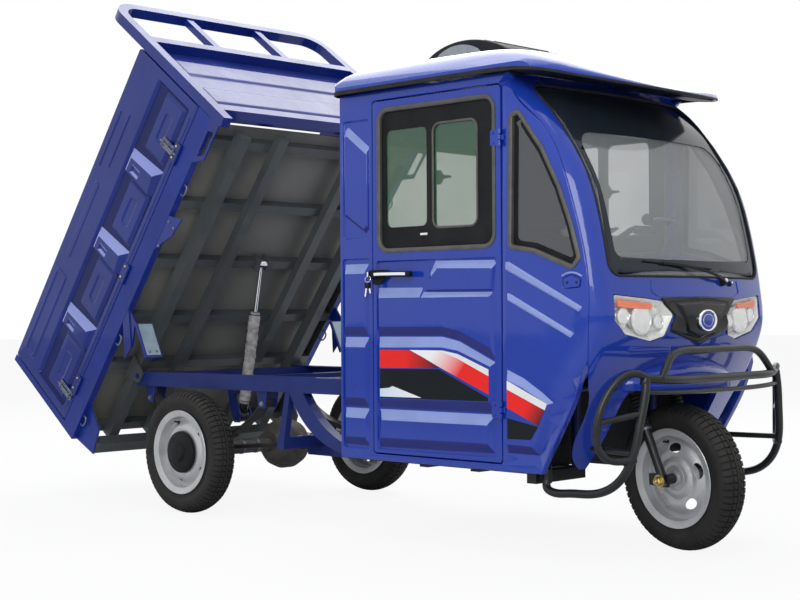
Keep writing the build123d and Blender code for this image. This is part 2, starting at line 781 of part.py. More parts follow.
def roof_plan():
    """Outline of the roof from above, with the visor's bowed front edge."""
    half = roof_half_width
    bow = ThreePointArc((visor_corner_x, half), (visor_tip_x, 0), (visor_corner_x, -half))
    rest = Polyline((visor_corner_x, -half), (roof_rear_x, -half), (roof_rear_x, half), (visor_corner_x, half))
    plan = extrude(closed_face([bow, rest]), amount=2200, dir=(0, 0, 1))
    rear_edges = [e for e in plan.edges().filter_by(Axis.Z) if e.center().X < roof_rear_x + 1]
    return fillet(rear_edges, 60)


def roof():
    """Moulded roof with its overhang at the sides and rear and the visor in front."""
    return (roof_body(0) & roof_plan()) - roof_body(roof_thickness)


def roof_hatch():
    """Low domed vent with a broad dark rim, on the crown of the roof."""
    body = block(hatch_x, around(0, hatch_half_width), (cab_top_z + 120, cab_top_z + 120 + hatch_height))
    body = fillet(body.edges().filter_by(Axis.Z), 60)
    return fillet(body.edges().group_by(Axis.Z)[-1], 30) - roof_body(0)


def front_bumper():
    """Bent round tube guard: main bar, upper hoop and a side loop with a rung each side."""
    r = bumper_tube_radius
    z = bumper_z
    main = tube([(2205, -402, z), (2236, -300, z - 4), (2236, 300, z - 4), (2205, 402, z)], r, 60)
    hoop = tube([(2228, -352, z), (2214, -236, z + 88), (2214, 236, z + 88), (2228, 352, z)], r - 2, 55)
    upright = tube([(2212, 388, z), (2188, 446, 372), (2112, 462, 252), (1850, 466, 226), (1838, 452, 300)], r, 42)
    loop = tube([(2212, 392, z + 4), (2156, 500, z + 18), (2118, 566, 560), (2104, 576, 440), (2126, 540, 352),
                 (2192, 440, 360)], r - 2, 44)
    rung = rod((2204, 414, 500), (2110, 568, 500), r - 4)
    stay = rod((2186, 440, 372), (1990, 404, 372), r - 4)
    pad = block((beam_x[1] + seat_gap, beam_x[1] + 28), (440, 466), bumper_pad_z)
    return main + hoop + across(upright + loop + rung + stay + pad)


# ---------------------------------------------------------------- steering and front wheel
def fork():
    """Two legs, crown, stem and axle of the front fork, straight ahead."""
    crown_plane = Plane(origin=along_fork(crown_at, fork_offset / 2), x_dir=(0, 1, 0), z_dir=rake_dir)
    crown_outline = RectangleRounded(2 * fork_leg_y + 44, fork_offset + 46, 18)
    body = extrude(crown_plane * crown_outline, amount=22)
    body = body + rod(along_fork(crown_at + 10, fork_offset), along_fork(bar_at, fork_offset), stem_radius)
    body = body + pin_along_y(wheelbase, around(0, fork_leg_y + 22), tyre_radius, axle_radius - running_gap)
    for y in (-fork_leg_y, fork_leg_y):
        leg = rod(along_fork(-22, 0, y), along_fork(crown_at + 8, 0, y), fork_leg_radius)
        foot = plate_xz([(wheelbase - 62, tyre_radius - 20), (wheelbase + 24, tyre_radius - 22),
                         (wheelbase + 24, tyre_radius + 22), (wheelbase - 62, tyre_radius + 20)], y - 5, y + 5)
        body = body + leg + foot
    return body


def handlebar():
    """Bent bar with its grips, clamped on top of the stem."""
    middle = along_fork(bar_at + 15, fork_offset)
    right = [(middle[0] - 60, -360, middle[2] + 44), (middle[0] - 20, -215, middle[2] + 52),
             (middle[0], -80, middle[2])]
    left = [(x, -y, z) for x, y, z in reversed(right)]
    bar = tube(right + left, 11, 40) + Pos(*middle) * Rot(0, -rake, 0) * Box(44, 70, 30)
    grip = rod(left[-1], (middle[0] - 29, 247, middle[2] + 50), grip_radius)
    return bar + across(grip)


# ---------------------------------------------------------------- tipping bed, in its own frame
def bed_floor():
    """Flat sheet floor, from the tailgate's line to the headboard."""
    return block((34, bed_length - rack_tube - headboard_sheet - 8), around(0, bed_inner_y), (0, bed_floor_sheet))


def bed_rails():
    """Long rails and cross members under the floor, with the side sills."""
    rail_x = (40, bed_length - 90)
    rail_z = (-cross_height - bed_rail_height, -cross_height)
    frame = across(block(rail_x, around(bed_rail_y, bed_rail_width / 2), rail_z))
    frame = frame + across(block(rail_x, inner_rail_y, (rail_z[0] + 16, rail_z[1])))
    for x in (60, 412, 669, 967, 1260, 1560):
        frame = frame + block(around(x, cross_half_width), around(0, bed_inner_y), (-cross_height, 0))
    return frame + across(block((0, bed_length - 46), (bed_inner_y, bed_half_width), (sill_low, sill_top)))


def bed_rear_corners():
    """Corner plates, the low bar between them and the posts that carry the tailgate's pins."""
    plate = plate_xz([(0, -30), (26, -173), (140, -145), (194, -30)], bed_inner_y, bed_inner_y + 8)
    bar = block((30, 80), around(0, bed_inner_y + 1), (-173, -118))
    post = block((0, 30), (bed_inner_y, bed_half_width), (sill_top - 1, side_height))
    bore_radius = tailgate_pin_radius + running_gap
    bore = pin_along_y(tailgate_axis_x, around(0, bed_inner_y + 20), tailgate_axis_z, bore_radius)
    return across(plate) + bar + across(post - bore)


def bed_hinge_ears():
    """Ears outside the chassis rails that turn on the hinge tube's ends."""
    x, z = hinge_in_bed_x, hinge_in_bed_z
    top = -cross_height
    y = (rail_outer_y + hinge_side_gap, rail_outer_y + hinge_side_gap + hinge_ear_sheet)
    ear = plate_xz([(x - 60, top), (x + 60, top), (x + 22, z - 20), (x - 22, z - 20)], *y)
    cap = block(around(x, 60), (bed_rail_y, y[1]), (top - 8, top))
    return across(ear + cap - pin_along_y(x, (0, 600), z, hinge_pin_radius + running_gap))


def bed_frame():
    """Rails, cross members, sills, rear corners and hinge ears under the floor, as one weldment."""
    frame = bed_rails() + bed_rear_corners() + bed_hinge_ears()
    # clevis for the ram's eye, open between its ears so that the eye can drift from the pin line
    x, z = ram_eye_in_bed_x, ram_eye_in_bed_z
    inner = clevis_gap / 2
    frame = frame + across(block(around(x, 30), (inner, inner + clevis_sheet), (z - 24, 0)))
    return frame - block(around(x, 60), around(0, inner), (z - 60, 0))


def wheel_brackets():
    """Brackets behind and ahead of each rear wheel, hung from the side sill."""
    y = bed_half_width - 1
    front = plate_xz([(1031, sill_low), (1200, sill_low), (1234, -117), (1141, -100), (1086, -66)], y - 5, y)
    flap = plate_xz([(655, sill_low), (722, sill_low), (600, -148), (530, -141)], y - 5, y)
    web = plate_xz([(655, sill_low), (722, sill_low), (700, -110), (690, -107), (600, -148)], y - 12, y - 5)
    tongue = plate_xz([(690, -107), (700, -110), (626, -252), (616, -249)], y - 92, y - 5)
    return across(front + flap + web + tongue)


def headboard():
    """Front wall of the bed with its corner posts and the rack above."""
    tube_half = rack_tube / 2
    wall_x = (bed_length - rack_tube - headboard_sheet, bed_length - rack_tube)
    wall_y = bed_half_width - rack_tube - 2
    body = block(wall_x, around(0, wall_y), (bed_floor_sheet, headboard_top))
    for z in (110, 220, 330, 440):
        rib = block((wall_x[0] - 8, wall_x[0] + 1), around(0, wall_y), around(z, 26))
        body = body + chamfer(rib.edges().group_by(Axis.X)[0].filter_by(Axis.Y), 8)
    x = bed_length - tube_half
    y = bed_half_width - tube_half
    top = rack_height - tube_half
    path = FilletPolyline((x, -y, -106), (x, -y, top), (x, y, top), (x, y, -106), radius=[110, 110])
    section = Plane(origin=path @ 0, x_dir=(1, 0, 0), z_dir=path % 0) * Rectangle(rack_tube, rack_tube)
    body = body + sweep(section, path=path)
    body = body + block((wall_x[1], bed_length), around(0, y), (headboard_top - rack_tube, headboard_top))
    body = body + block((wall_x[1], bed_length), around(0, y), (sill_low, sill_low + rack_tube))
    for bar_y in (-200, 200):
        body = body + block((bed_length - 36, bed_length - 6), around(bar_y, 18), (headboard_top - 18, top))
    return body + across(corner_bracket(wall_x[1]))


def corner_bracket(post_x):
    """Lamp bracket that runs forward under the side sill to the left corner post."""
    y = (bed_half_width - 6, bed_half_width)
    plate = plate_xz([(1462, sill_low), (1640, sill_low), (1672, -96), (1508, -96)], *y)
    hole = plate_xz([(1498, -48), (1618, -48), (1634, -84), (1524, -84)], *grown(y, 6))
    return plate - hole + block((1630, post_x + 1), y, (-96, sill_low))


def gate(side):
    """Drop side with a long groove, a recess and three stake ribs, hinged along its foot."""
    skin = bed_half_width
    low = sill_top + gate_low_gap
    groove_x = (gate_x[0] + 36, gate_x[1] - 50)
    panel = block(gate_x, (skin - gate_thickness, skin), (low, side_height))
    panel = panel - block(groove_x, (skin - 12, skin + 1), (330, 384))
    panel = panel - block(groove_x, (skin - 5, skin + 1), (120, 330))
    for x in stake_x:
        rib = block(around(x, 42), (skin - 14, skin + 10), (106, 352))
        panel = panel + chamfer(rib.edges().group_by(Axis.Y)[-1], 9)
    knuckle_y = skin + gate_hinge_proud
    for x in gate_hinge_x:
        knuckle = rod((x - 48, knuckle_y, sill_top), (x + 48, knuckle_y, sill_top), gate_hinge_proud - seat_gap)
        strap = block(around(x, 44), (skin, knuckle_y + 2), (sill_top + 3, sill_top + 44))
        panel = panel + knuckle + strap
    return sided(panel, side)


def tailgate():
    """Rear gate hung from pins in the corner posts near its top edge."""
    half = bed_inner_y - tailgate_side_gap
    x = around(tailgate_axis_x, tailgate_thickness / 2)
    panel = block(x, around(0, half), (14, 540))
    for z in (150, 300, 430):
        rib = block((x[0] - 8, x[0] + 1), around(0, half - 40), around(z, 30))
        panel = panel + chamfer(rib.edges().group_by(Axis.X)[0], 6)
    pins = pin_along_y(tailgate_axis_x, around(0, half + 18), tailgate_axis_z, tailgate_pin_radius)
    latch = block((x[0] - 16, x[0]), (half - 40, half), (250, 290))
    return panel + pins + across(latch)


# ---------------------------------------------------------------- ram
def ram_line():
    """The ram's foot and its direction and length to the eye, with the bed raised."""
    foot = Vector(ram_foot_x, 0, ram_foot_z)
    reach = bed_point(ram_eye_in_bed_x, ram_eye_in_bed_z) - foot
    return foot, reach.normalized(), reach.length


def on_ram(start, end, radius):
    """A round bar on the ram's line between two distances from its foot."""
    foot, direction, _ = ram_line()
    return rod(tuple(foot + direction * start), tuple(foot + direction * end), radius)


def ram_barrel():
    """Cylinder barrel with its foot eye and its gland, bored for the rod."""
    end = ram_barrel_length
    knuckle = pin_along_y(ram_foot_x, around(0, clevis_gap / 2 - 3), ram_foot_z, ram_eye_radius + 4)
    bore = pin_along_y(ram_foot_x, around(0, clevis_gap), ram_foot_z, ram_pin_radius + running_gap)
    body = on_ram(20, end, ram_barrel_radius) + knuckle + on_ram(end - 2, end + 14, ram_barrel_radius - 3)
    return body - bore - on_ram(120, end + 40, ram_rod_radius + running_gap)


def ram_sleeve():
    """Dust sleeve drawn over the barrel and the first stretch of the rod."""
    bore = on_ram(ram_sleeve_low - 10, ram_sleeve_top + 10, ram_barrel_radius + seat_gap)
    return on_ram(ram_sleeve_low, ram_sleeve_top, ram_barrel_radius + ram_sleeve_thickness) - bore


def ram_rod():
    """Polished rod with the eye that lifts the bed."""
    _, _, length = ram_line()
    eye = bed_point(ram_eye_in_bed_x, ram_eye_in_bed_z)
    knuckle = pin_along_y(eye.X, around(0, ram_eye_half_width), eye.Z, ram_eye_radius)
    return on_ram(ram_barrel_length - 55, length - 6, ram_rod_radius) + knuckle


# ---------------------------------------------------------------- the whole vehicle
def build_all():
    """Every node by name, in the datum frame."""
    nodes = {
        "chassis_frame": chassis_frame(),
        "leaf_springs": leaf_springs(),
        "rear_axle": rear_axle(),
        "prop_shaft": prop_shaft(),
        "engine": engine(),
        "steering_head": steering_head(),
        "front_bumper": front_bumper(),
        "cab_floor": cab_floor(),
        "cab_rear_wall": cab_rear_wall(),
        "front_shell": front_shell(),
        "nose_fender": nose_fender(),
        "headlamps": headlamps(),
        "grille": grille(),
        "windows": windows(),
        "roof": roof(),
        "roof_hatch": roof_hatch(),
        "firewall": firewall(),
        "dashboard": dashboard(),
        "seat_box": seat_box(),
        "seat": seat(),
        "fork": steered(fork()),
        "handlebar": steered(handlebar()),
        "front_tyre": steered(Pos(wheelbase, 0, tyre_radius) * tyre()),
        "front_rim": steered(Pos(wheelbase, 0, tyre_radius) * rim(-1, False)),
        "bed_floor": bed_place * bed_floor(),
        "bed_frame": bed_place * bed_frame(),
        "wheel_brackets": bed_place * wheel_brackets(),
        "headboard": bed_place * headboard(),
        "tailgate": bed_place * tailgate(),
        "ram_barrel": ram_barrel(),
        "ram_sleeve": ram_sleeve(),
        "ram_rod": ram_rod(),
    }
    for name, side in (("left", 1), ("right", -1)):
        nodes.update(rear_wheel_nodes(name, side))
        nodes["cab_side_" + name] = cab_side(side)
        nodes["door_" + name] = door_panel(side)
        nodes["door_glass_" + name] = door_glass(side)
        nodes["door_handle_" + name] = door_handle(side)
        nodes["gate_" + name] = bed_place * gate(side)
    return nodes


def middle_of_length(nodes):
    """X of the middle of the vehicle's box."""
    lows = [shape.bounding_box().min.X for shape in nodes.values()]
    highs = [shape.bounding_box().max.X for shape in nodes.values()]
    return (min(lows) + max(highs)) / 2


def main():
    """Build the vehicle, set its origin and write one STEP for each node."""
    os.makedirs("parts", exist_ok=True)
    nodes = build_all()
    shift = -middle_of_length(nodes)
    print("datum moved along X by", round(shift, 3))
    for name, shape in sorted(nodes.items()):
        moved = Pos(shift, 0, 0) * shape
        export_step(moved, "parts/" + name + ".step")
    return nodes, shift


if __name__ == "__main__":
    main()
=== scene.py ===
# %% [markdown]
# # An enclosed cargo motor tricycle
# A three-wheeler with a closed cab in front and a tipping load bed behind.  The frame holds every
# working part at its real size.  This lesson gives each part its finish, and builds in mesh the
# things a press, a mould or a sewing machine makes: panels, tyres, seals, lamps and cushions.

# %% Load the frame
import json
from math import atan2, ceil, cos, hypot, pi, radians, sin

import bmesh
import bpy
from mathutils import Matrix, Vector, noise
from mathutils.bvhtree import BVHTree
from mathutils.geometry import delaunay_2d_cdt


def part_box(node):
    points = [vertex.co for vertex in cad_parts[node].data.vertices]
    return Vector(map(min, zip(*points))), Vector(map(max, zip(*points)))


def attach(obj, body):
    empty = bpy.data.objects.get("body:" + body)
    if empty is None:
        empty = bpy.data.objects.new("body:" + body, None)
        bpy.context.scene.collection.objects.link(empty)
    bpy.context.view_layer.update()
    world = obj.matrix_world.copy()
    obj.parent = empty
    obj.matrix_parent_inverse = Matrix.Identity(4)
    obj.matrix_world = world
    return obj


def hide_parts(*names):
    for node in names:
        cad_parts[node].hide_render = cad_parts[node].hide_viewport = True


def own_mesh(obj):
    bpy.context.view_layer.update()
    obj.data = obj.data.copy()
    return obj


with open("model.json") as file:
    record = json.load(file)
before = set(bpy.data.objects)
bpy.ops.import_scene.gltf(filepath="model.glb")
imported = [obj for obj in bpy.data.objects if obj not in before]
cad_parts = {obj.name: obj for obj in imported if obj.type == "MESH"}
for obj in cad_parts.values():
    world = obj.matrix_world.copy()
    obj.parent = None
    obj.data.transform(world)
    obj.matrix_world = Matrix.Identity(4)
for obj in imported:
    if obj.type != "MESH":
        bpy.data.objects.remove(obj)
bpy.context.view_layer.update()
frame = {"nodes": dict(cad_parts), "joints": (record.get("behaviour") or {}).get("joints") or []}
nodes = frame["nodes"]
joints = {joint["name"]: joint for joint in frame["joints"]}

# %% [markdown]
# Three places matter for laying things out.  The datum is the ground under the rear axle.  The bed
# is easiest to build flat, so one matrix tips it up to where it rests.  The fork and its wheel are
# easiest to build straight ahead, so another matrix turns them to where they are parked.

# %% The three layouts
rear_low, rear_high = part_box("rear_tyre_left")
datum_x = (rear_low.x + rear_high.x) / 2
tyre_radius = (rear_high.z - rear_low.z) / 2
wheelbase, rear_wheel_y = 2.08, 0.53
on_cab = Matrix.Translation((datum_x, 0, 0))

tip_joint = joints["bed_tip"]
hinge_in_bed = Vector((0.416, 0, -0.118))
tip_angle = radians(tip_joint["range_deg"][1])
tipped = Matrix.Rotation(-tip_angle, 4, "Y")
on_bed = Matrix.Translation(tip_joint["pos_m"]) @ tipped @ Matrix.Translation(-hinge_in_bed)

steer_joint = joints["steering"]
steer_pivot = Vector(steer_joint["pos_m"])
parked = radians(-(steer_joint["range_deg"][0] + steer_joint["range_deg"][1]) / 2)
turn = Matrix.Rotation(parked, 4, Vector(steer_joint["axis"]))
on_fork = Matrix.Translation(steer_pivot) @ turn @ Matrix.Translation(-steer_pivot) @ on_cab
print("datum", round(datum_x, 4), "tyre radius", round(tyre_radius, 4), "parked", round(parked, 4))

# %% [markdown]
# The camera stands low and to the front right, at the height of a person who crouches, with a long
# lens.  Its place is given from the datum, and its aim as a compass angle, a slight look up and a
# hair of roll.

# %% Camera
def linked(name, data):
    """A new object in the scene."""
    thing = bpy.data.objects.new(name, data)
    bpy.context.scene.collection.objects.link(thing)
    return thing


camera_data = bpy.data.cameras.new("camera")
camera_data.lens = 68.02
camera_data.sensor_width = 36.0
camera_data.clip_end = 60.0
camera = linked("camera", camera_data)
compass, look_up, roll = radians(44.067), radians(-0.469), radians(-0.341)
back = Vector((sin(compass) * cos(look_up), -cos(compass) * cos(look_up), sin(look_up)))
side = Vector((0, 0, 1)).cross(back).normalized()
up = back.cross(side)
side, up = side * cos(roll) + up * sin(roll), up * cos(roll) - side * sin(roll)
camera.matrix_world = Matrix.Translation((datum_x + 5.022, -4.449, 0.829)) @ Matrix(
    (side, up, back)).transposed().to_4x4()
bpy.context.scene.camera = camera

# %% [markdown]
# The studio is a white floor that runs back into a white surround.  What a ray sees past the object
# is white for the eye, for gloss and through glass, while the light that falls on the object is
# softer.  A lamp overhead and one from the front right give the panels their shape, and a large one
# behind lies where the roof and other upward faces mirror the sky.

# %% Studio
view = bpy.context.scene.view_settings
view.view_transform = "Standard"


def feed(tree, target, inputs):
    """Gives a node's sockets, by name or in order, a value or a link each."""
    for socket, value in inputs.items() if isinstance(inputs, dict) else enumerate(inputs):
        if isinstance(value, bpy.types.NodeSocket):
            tree.links.new(value, target.inputs[socket])
        else:
            target.inputs[socket].default_value = value


def node(tree, kind, inputs=(), **settings):
    """A new shader node with its sockets and settings."""
    made = tree.nodes.new("ShaderNode" + kind)
    for setting, value in settings.items():
        setattr(made, setting, value)
    feed(tree, made, inputs)
    return made


def ray_share(tree, *rays):
    """1 for the named kinds of ray and 0 for all others."""
    paths = node(tree, "LightPath")
    share = paths.outputs[rays[0]]
    for ray in rays[1:]:
        share = node(tree, "Math", (share, paths.outputs[ray]), operation="MAXIMUM").outputs[0]
    return share


def studio_world():
    """White to look at and in gloss, grey as a light."""
    world = bpy.data.worlds.new("studio")
    bpy.context.scene.world = world
    world.use_nodes = True
    tree = world.node_tree
    tree.nodes.clear()
    light = node(tree, "Background", ((0.93, 0.95, 1.0, 1), 0.58)).outputs[0]
    seen = node(tree, "Background", ((1, 1, 1, 1),)).outputs[0]
    share = ray_share(tree, "Is Camera Ray", "Is Transmission Ray", "Is Glossy Ray")
    mix = node(tree, "MixShader", (share, light, seen))
    node(tree, "OutputWorld", (mix.outputs[0],))


def lamp(name, place, target, size, watts):
    """A square soft lamp that faces a point."""
    data = bpy.data.lights.new(name, "AREA")
    data.size = size
    data.energy = watts
    thing = linked(name, data)
    direction = Vector(target) - Vector(place)
    thing.location = place
    thing.rotation_euler = direction.to_track_quat("-Z", "Y").to_euler()
    thing.visible_camera = False


studio_world()
lamp("top_lamp", (0.4, -0.6, 5.2), (0, 0, 0.6), 4.0, 60)
lamp("front_lamp", (3.6, -4.6, 3.0), (0.4, 0, 0.8), 2.6, 130)
lamp("rear_lamp", (-2.8, 3.2, 5.6), (0.2, 0, 1.1), 6.5, 360)


def mesh_object(name, points, faces):
    """A new object whose mesh is made of points and faces."""
    mesh = bpy.data.meshes.new(name)
    mesh.from_pydata(points, [], faces)
    return linked(name, mesh)


def shader(name):
    """A new material with its Principled shader: (material, tree, shader)."""
    material = bpy.data.materials.new(name)
    material.use_nodes = True
    tree = material.node_tree
    return material, tree, tree.nodes["Principled BSDF"]


def white_floor():
    """The studio floor: white to the eye, with the soft shadow of what stands on it."""
    thing = mesh_object("floor", [(-40, -40, 0), (40, -40, 0), (40, 40, 0), (-40, 40, 0)], [(0, 1, 2, 3)])
    material, tree, paper = shader("floor_paper")
    feed(tree, paper, {"Base Color": (0.74, 0.74, 0.74, 1), "Roughness": 0.9, "Specular IOR Level": 0.0})
    seen = node(tree, "Emission", {"Strength": 1.0})
    rays = ray_share(tree, "Is Camera Ray", "Is Transmission Ray")
    share = node(tree, "Math", (rays, 0.9), operation="MULTIPLY")
    mix = node(tree, "MixShader", (share.outputs[0], paper.outputs[0], seen.outputs[0]))
    feed(tree, tree.nodes["Material Output"], {"Surface": mix.outputs[0]})
    thing.data.materials.append(material)


white_floor()

# %% [markdown]
# Every finish is a recipe in shader nodes, with no pictures.  One recipe covers most of them: a soft
# noise shifts the colour a little, a second noise varies the gloss, a fine noise gives the surface
# its grain, and dust comes in where a real vehicle collects it.

# %% The shared recipe
def noise_at(tree, scale, detail=3.0, stretch=(1, 1, 1)):
    """A noise texture in the piece's own space, stretched where a surface has a grain."""
    place = node(tree, "TexCoord").outputs["Object"]
    size = node(tree, "Mapping", {"Vector": place, "Scale": stretch})
    return node(tree, "TexNoise", {"Vector": size.outputs[0], "Scale": scale, "Detail": detail}).outputs["Fac"]


def spread(tree, value, low, high, out_low=0.0, out_high=1.0):
    """A value's range moved onto another range, and kept inside it."""
    return node(tree, "MapRange", {"Value": value, "From Min": low, "From Max": high, "To Min": out_low,
                                   "To Max": out_high}).outputs["Result"]


def maths(tree, operation, *values):
    """The result of one step of arithmetic."""
    return node(tree, "Math", values, operation=operation).outputs[0]


def blend_colour(tree, share, first, second):
    """A colour between two, by a share from 0 to 1; each is a colour or a socket."""
    first, second = ((*one, 1) if isinstance(one, tuple) else one for one in (first, second))
    return node(tree, "Mix", {0: share, 6: first, 7: second}, data_type="RGBA").outputs[2]


def grained(tree, surface, scale, strength, stretch=(1, 1, 1)):
    """A fine bump on a surface."""
    height = noise_at(tree, scale, 2.0, stretch)
    bump = node(tree, "Bump", {"Height": height, "Strength": strength, "Distance": 0.002})
    feed(tree, surface, {"Normal": bump.outputs["Normal"]})


def finish(name, colour, second, rough, patch=6.0, metal=0.0, coat=0.0, grain=(300.0, 0.05), dust=0.0,
           dust_colour=(0.3, 0.26, 0.21), stretch=(1, 1, 1), specular=0.5):
    """The shared recipe.  rough is a pair; grain is a scale and a strength; dust settles on top."""
    material, tree, surface = shader(name)
    base = blend_colour(tree, spread(tree, noise_at(tree, patch, 4.0, stretch), 0.35, 0.65), colour, second)
    if dust:
        facing = node(tree, "SeparateXYZ", (node(tree, "NewGeometry").outputs["Normal"],)).outputs["Z"]
        patches = spread(tree, noise_at(tree, 13.0, 6.0), 0.3, 0.75)
        dusty = maths(tree, "MULTIPLY", spread(tree, facing, -0.2, 1.0), patches)
        base = blend_colour(tree, maths(tree, "MULTIPLY", dusty, dust), base, dust_colour)
    gloss = spread(tree, noise_at(tree, patch * 3, 5.0, stretch), 0.3, 0.7, *rough)
    feed(tree, surface, {"Base Color": base, "Roughness": gloss, "Metallic": metal, "Specular IOR Level": specular,
                         "Coat Weight": coat, "Coat Roughness": 0.04})
    if grain[1]:
        grained(tree, surface, *grain, stretch)
    return material


# %% [markdown]
# The body is a deep royal blue under clear coat.  The load bed's underside and floor are a thin
# grey-olive coat that dust clings to.  Black parts come as powder-coated tube, grained plastic and
# soft rubber, and each of those is dull in its own way.

# %% Painted and plastic finishes
blue = finish("blue_paint", (0.007, 0.034, 0.31), (0.009, 0.04, 0.34), (0.22, 0.3), 2.5, coat=0.75,
              grain=(900.0, 0.012), dust=0.03, specular=0.12)
roof_blue = finish("roof_paint", (0.01, 0.042, 0.33), (0.013, 0.05, 0.36), (0.24, 0.32), 2.5, coat=0.65,
                   grain=(900.0, 0.01), dust=0.03, specular=0.12)
bed_blue = finish("bed_blue_paint", (0.005, 0.018, 0.175), (0.008, 0.026, 0.215), (0.26, 0.4), 3.0, coat=0.45,
                  grain=(700.0, 0.03), dust=0.06, specular=0.12)
olive = finish("underside_paint", (0.15, 0.15, 0.135), (0.195, 0.193, 0.172), (0.45, 0.62), 3.0,
               grain=(420.0, 0.08), dust=0.1, specular=0.2)
inner_grey = finish("inner_panel", (0.12, 0.13, 0.145), (0.15, 0.158, 0.17), (0.5, 0.62), 5.0, grain=(500.0, 0.08))
black_steel = finish("black_powder_coat", (0.007, 0.008, 0.009), (0.012, 0.013, 0.014), (0.26, 0.36), 9.0,
                     grain=(1400.0, 0.1), dust=0.03, coat=0.2, specular=0.25)
chassis_black = finish("chassis_paint", (0.016, 0.017, 0.02), (0.03, 0.03, 0.032), (0.42, 0.62), 9.0,
                       grain=(600.0, 0.15), dust=0.18, specular=0.25)
chassis_blue = finish("chassis_blue_paint", (0.007, 0.014, 0.09), (0.012, 0.02, 0.11), (0.32, 0.48), 6.0, coat=0.3,
                      grain=(500.0, 0.1), dust=0.06, specular=0.15)
plastic = finish("grained_plastic", (0.006, 0.007, 0.008), (0.011, 0.012, 0.013), (0.45, 0.58), 12.0,
                 grain=(1800.0, 0.35), specular=0.15)
rubber = finish("seal_rubber", (0.01, 0.01, 0.011), (0.018, 0.018, 0.019), (0.55, 0.72), 20.0,
                grain=(900.0, 0.1), dust=0.05, specular=0.25)
tyre_rubber = finish("tyre_rubber", (0.016, 0.016, 0.016), (0.026, 0.025, 0.024), (0.6, 0.8), 10.0,
                     grain=(700.0, 0.18), dust=0.22, dust_colour=(0.16, 0.15, 0.13), specular=0.2)
wheel_silver = finish("wheel_silver", (0.44, 0.45, 0.46), (0.54, 0.55, 0.56), (0.3, 0.44), 9.0, metal=0.45,
                      coat=0.3, grain=(1200.0, 0.05), dust=0.2, dust_colour=(0.22, 0.2, 0.17), specular=0.4)
cast = finish("cast_iron", (0.055, 0.052, 0.05), (0.09, 0.082, 0.076), (0.55, 0.75), 14.0, metal=0.3,
              grain=(350.0, 0.35), dust=0.45)
bright = finish("polished_steel", (0.62, 0.63, 0.64), (0.7, 0.7, 0.71), (0.08, 0.16), 9.0, metal=1.0,
                grain=(200.0, 0.01), stretch=(1, 1, 8))
zinc = finish("yellow_zinc", (0.52, 0.4, 0.14), (0.62, 0.5, 0.22), (0.25, 0.4), 60.0, metal=0.9, grain=(900.0, 0.05))
chrome = finish("chrome", (0.8, 0.8, 0.81), (0.86, 0.86, 0.87), (0.03, 0.07), 9.0, metal=1.0, grain=(200.0, 0.0))
print("finishes", len(bpy.data.materials))

# %% [markdown]
# Some welded parts are sprayed in two colours with a masked line between them.  The mask is a place
# on the part: beyond it, measured along one axis, the second colour begins.

# %% Two-colour paint
def mask_beyond(tree, axis, start, both_ways=False):
    """A mask that is 1 where the place along an axis lies beyond start, in metres, and 0 before it."""
    place = node(tree, "TexCoord").outputs["Object"]
    where = node(tree, "SeparateXYZ", (place,)).outputs["XYZ".index(axis)]
    if both_ways:
        where = maths(tree, "ABSOLUTE", where)
    return spread(tree, where, start - 0.0005, start + 0.0005)


def two_tone(name, near, far, axis, start, both_ways=False):
    """Paint that changes from near to far where the place along an axis passes start."""
    material, tree, surface = shader(name)
    patches = spread(tree, noise_at(tree, 5.0, 5.0), 0.3, 0.7)
    tones = [blend_colour(tree, patches, tone, tuple(channel * 1.35 for channel in tone)) for tone in (near, far)]
    feed(tree, surface, {"Base Color": blend_colour(tree, mask_beyond(tree, axis, start, both_ways), *tones),
                         "Roughness": spread(tree, noise_at(tree, 14.0, 5.0), 0.3, 0.7, 0.4, 0.6),
                         "Specular IOR Level": 0.2, "Coat Weight": 0.2})
    grained(tree, surface, 450.0, 0.08)
    return material


bed_frame_paint = two_tone("bed_frame_paint", (0.062, 0.07, 0.072), (0.006, 0.022, 0.19), "Y", 0.586, True)
frame_paint = two_tone("frame_paint", (0.007, 0.017, 0.115), (0.008, 0.009, 0.01), "X", datum_x + 1.3)

# %% [markdown]
# The stripes are thin vinyl, so they keep a plain strong colour and the paint's gloss.

# %% Vinyl finishes
def vinyl(name, colour):
    """A stripe's film: one strong colour under gloss, with a faint unevenness."""
    shade = tuple(channel * 0.88 for channel in colour)
    return finish(name, colour, shade, (0.2, 0.28), 9.0, coat=0.2, grain=(500.0, 0.01), specular=0.1)


red_film = vinyl("red_film", (0.72, 0.03, 0.022))
white_film = vinyl("white_film", (0.8, 0.8, 0.79))
black_film = vinyl("black_film", (0.006, 0.009, 0.012))
# Painted highlight: this pale silver-blue is no vinyl; it stands for the sky mirrored in the gloss of pressed slopes
# and ribs that face up.
painted_sky_highlight = vinyl("sky_highlight_film", (0.26, 0.33, 0.66))

# %% [markdown]
# Window glass is thin and lightly tinted, so it is made mostly see-through, with the gloss kept on
# top.  The panes beside the screen are tinted darker.  Lamp colours are a plain glossy plastic.

# %% Glass and lamps
def window_glass(name, colour, cover, sides=None):
    """Thin sheet glass: cover is how much of what is behind it the tint hides.

    sides gives the darker tint and cover of the panes that lie beyond a distance from the middle."""
    material, tree, surface = shader(name)
    haze = spread(tree, noise_at(tree, 3.0, 5.0), 0.3, 0.7, cover * 0.92, cover * 1.08)
    tint = blend_colour(tree, spread(tree, noise_at(tree, 2.0, 2.0), 0.3, 0.7), colour,
                        tuple(channel * 1.15 for channel in colour))
    if sides:
        dark, dark_cover, edge = sides
        mask = mask_beyond(tree, "Y", edge, True)
        tint = blend_colour(tree, mask, tint, dark)
        haze = maths(tree, "MULTIPLY_ADD", mask, dark_cover - cover, haze)
    feed(tree, surface, {"Roughness": 0.02, "IOR": 1.5, "Specular IOR Level": 1.0, "Coat Weight": 1.0,
                         "Coat Roughness": 0.0, "Alpha": haze, "Base Color": tint})
    return material


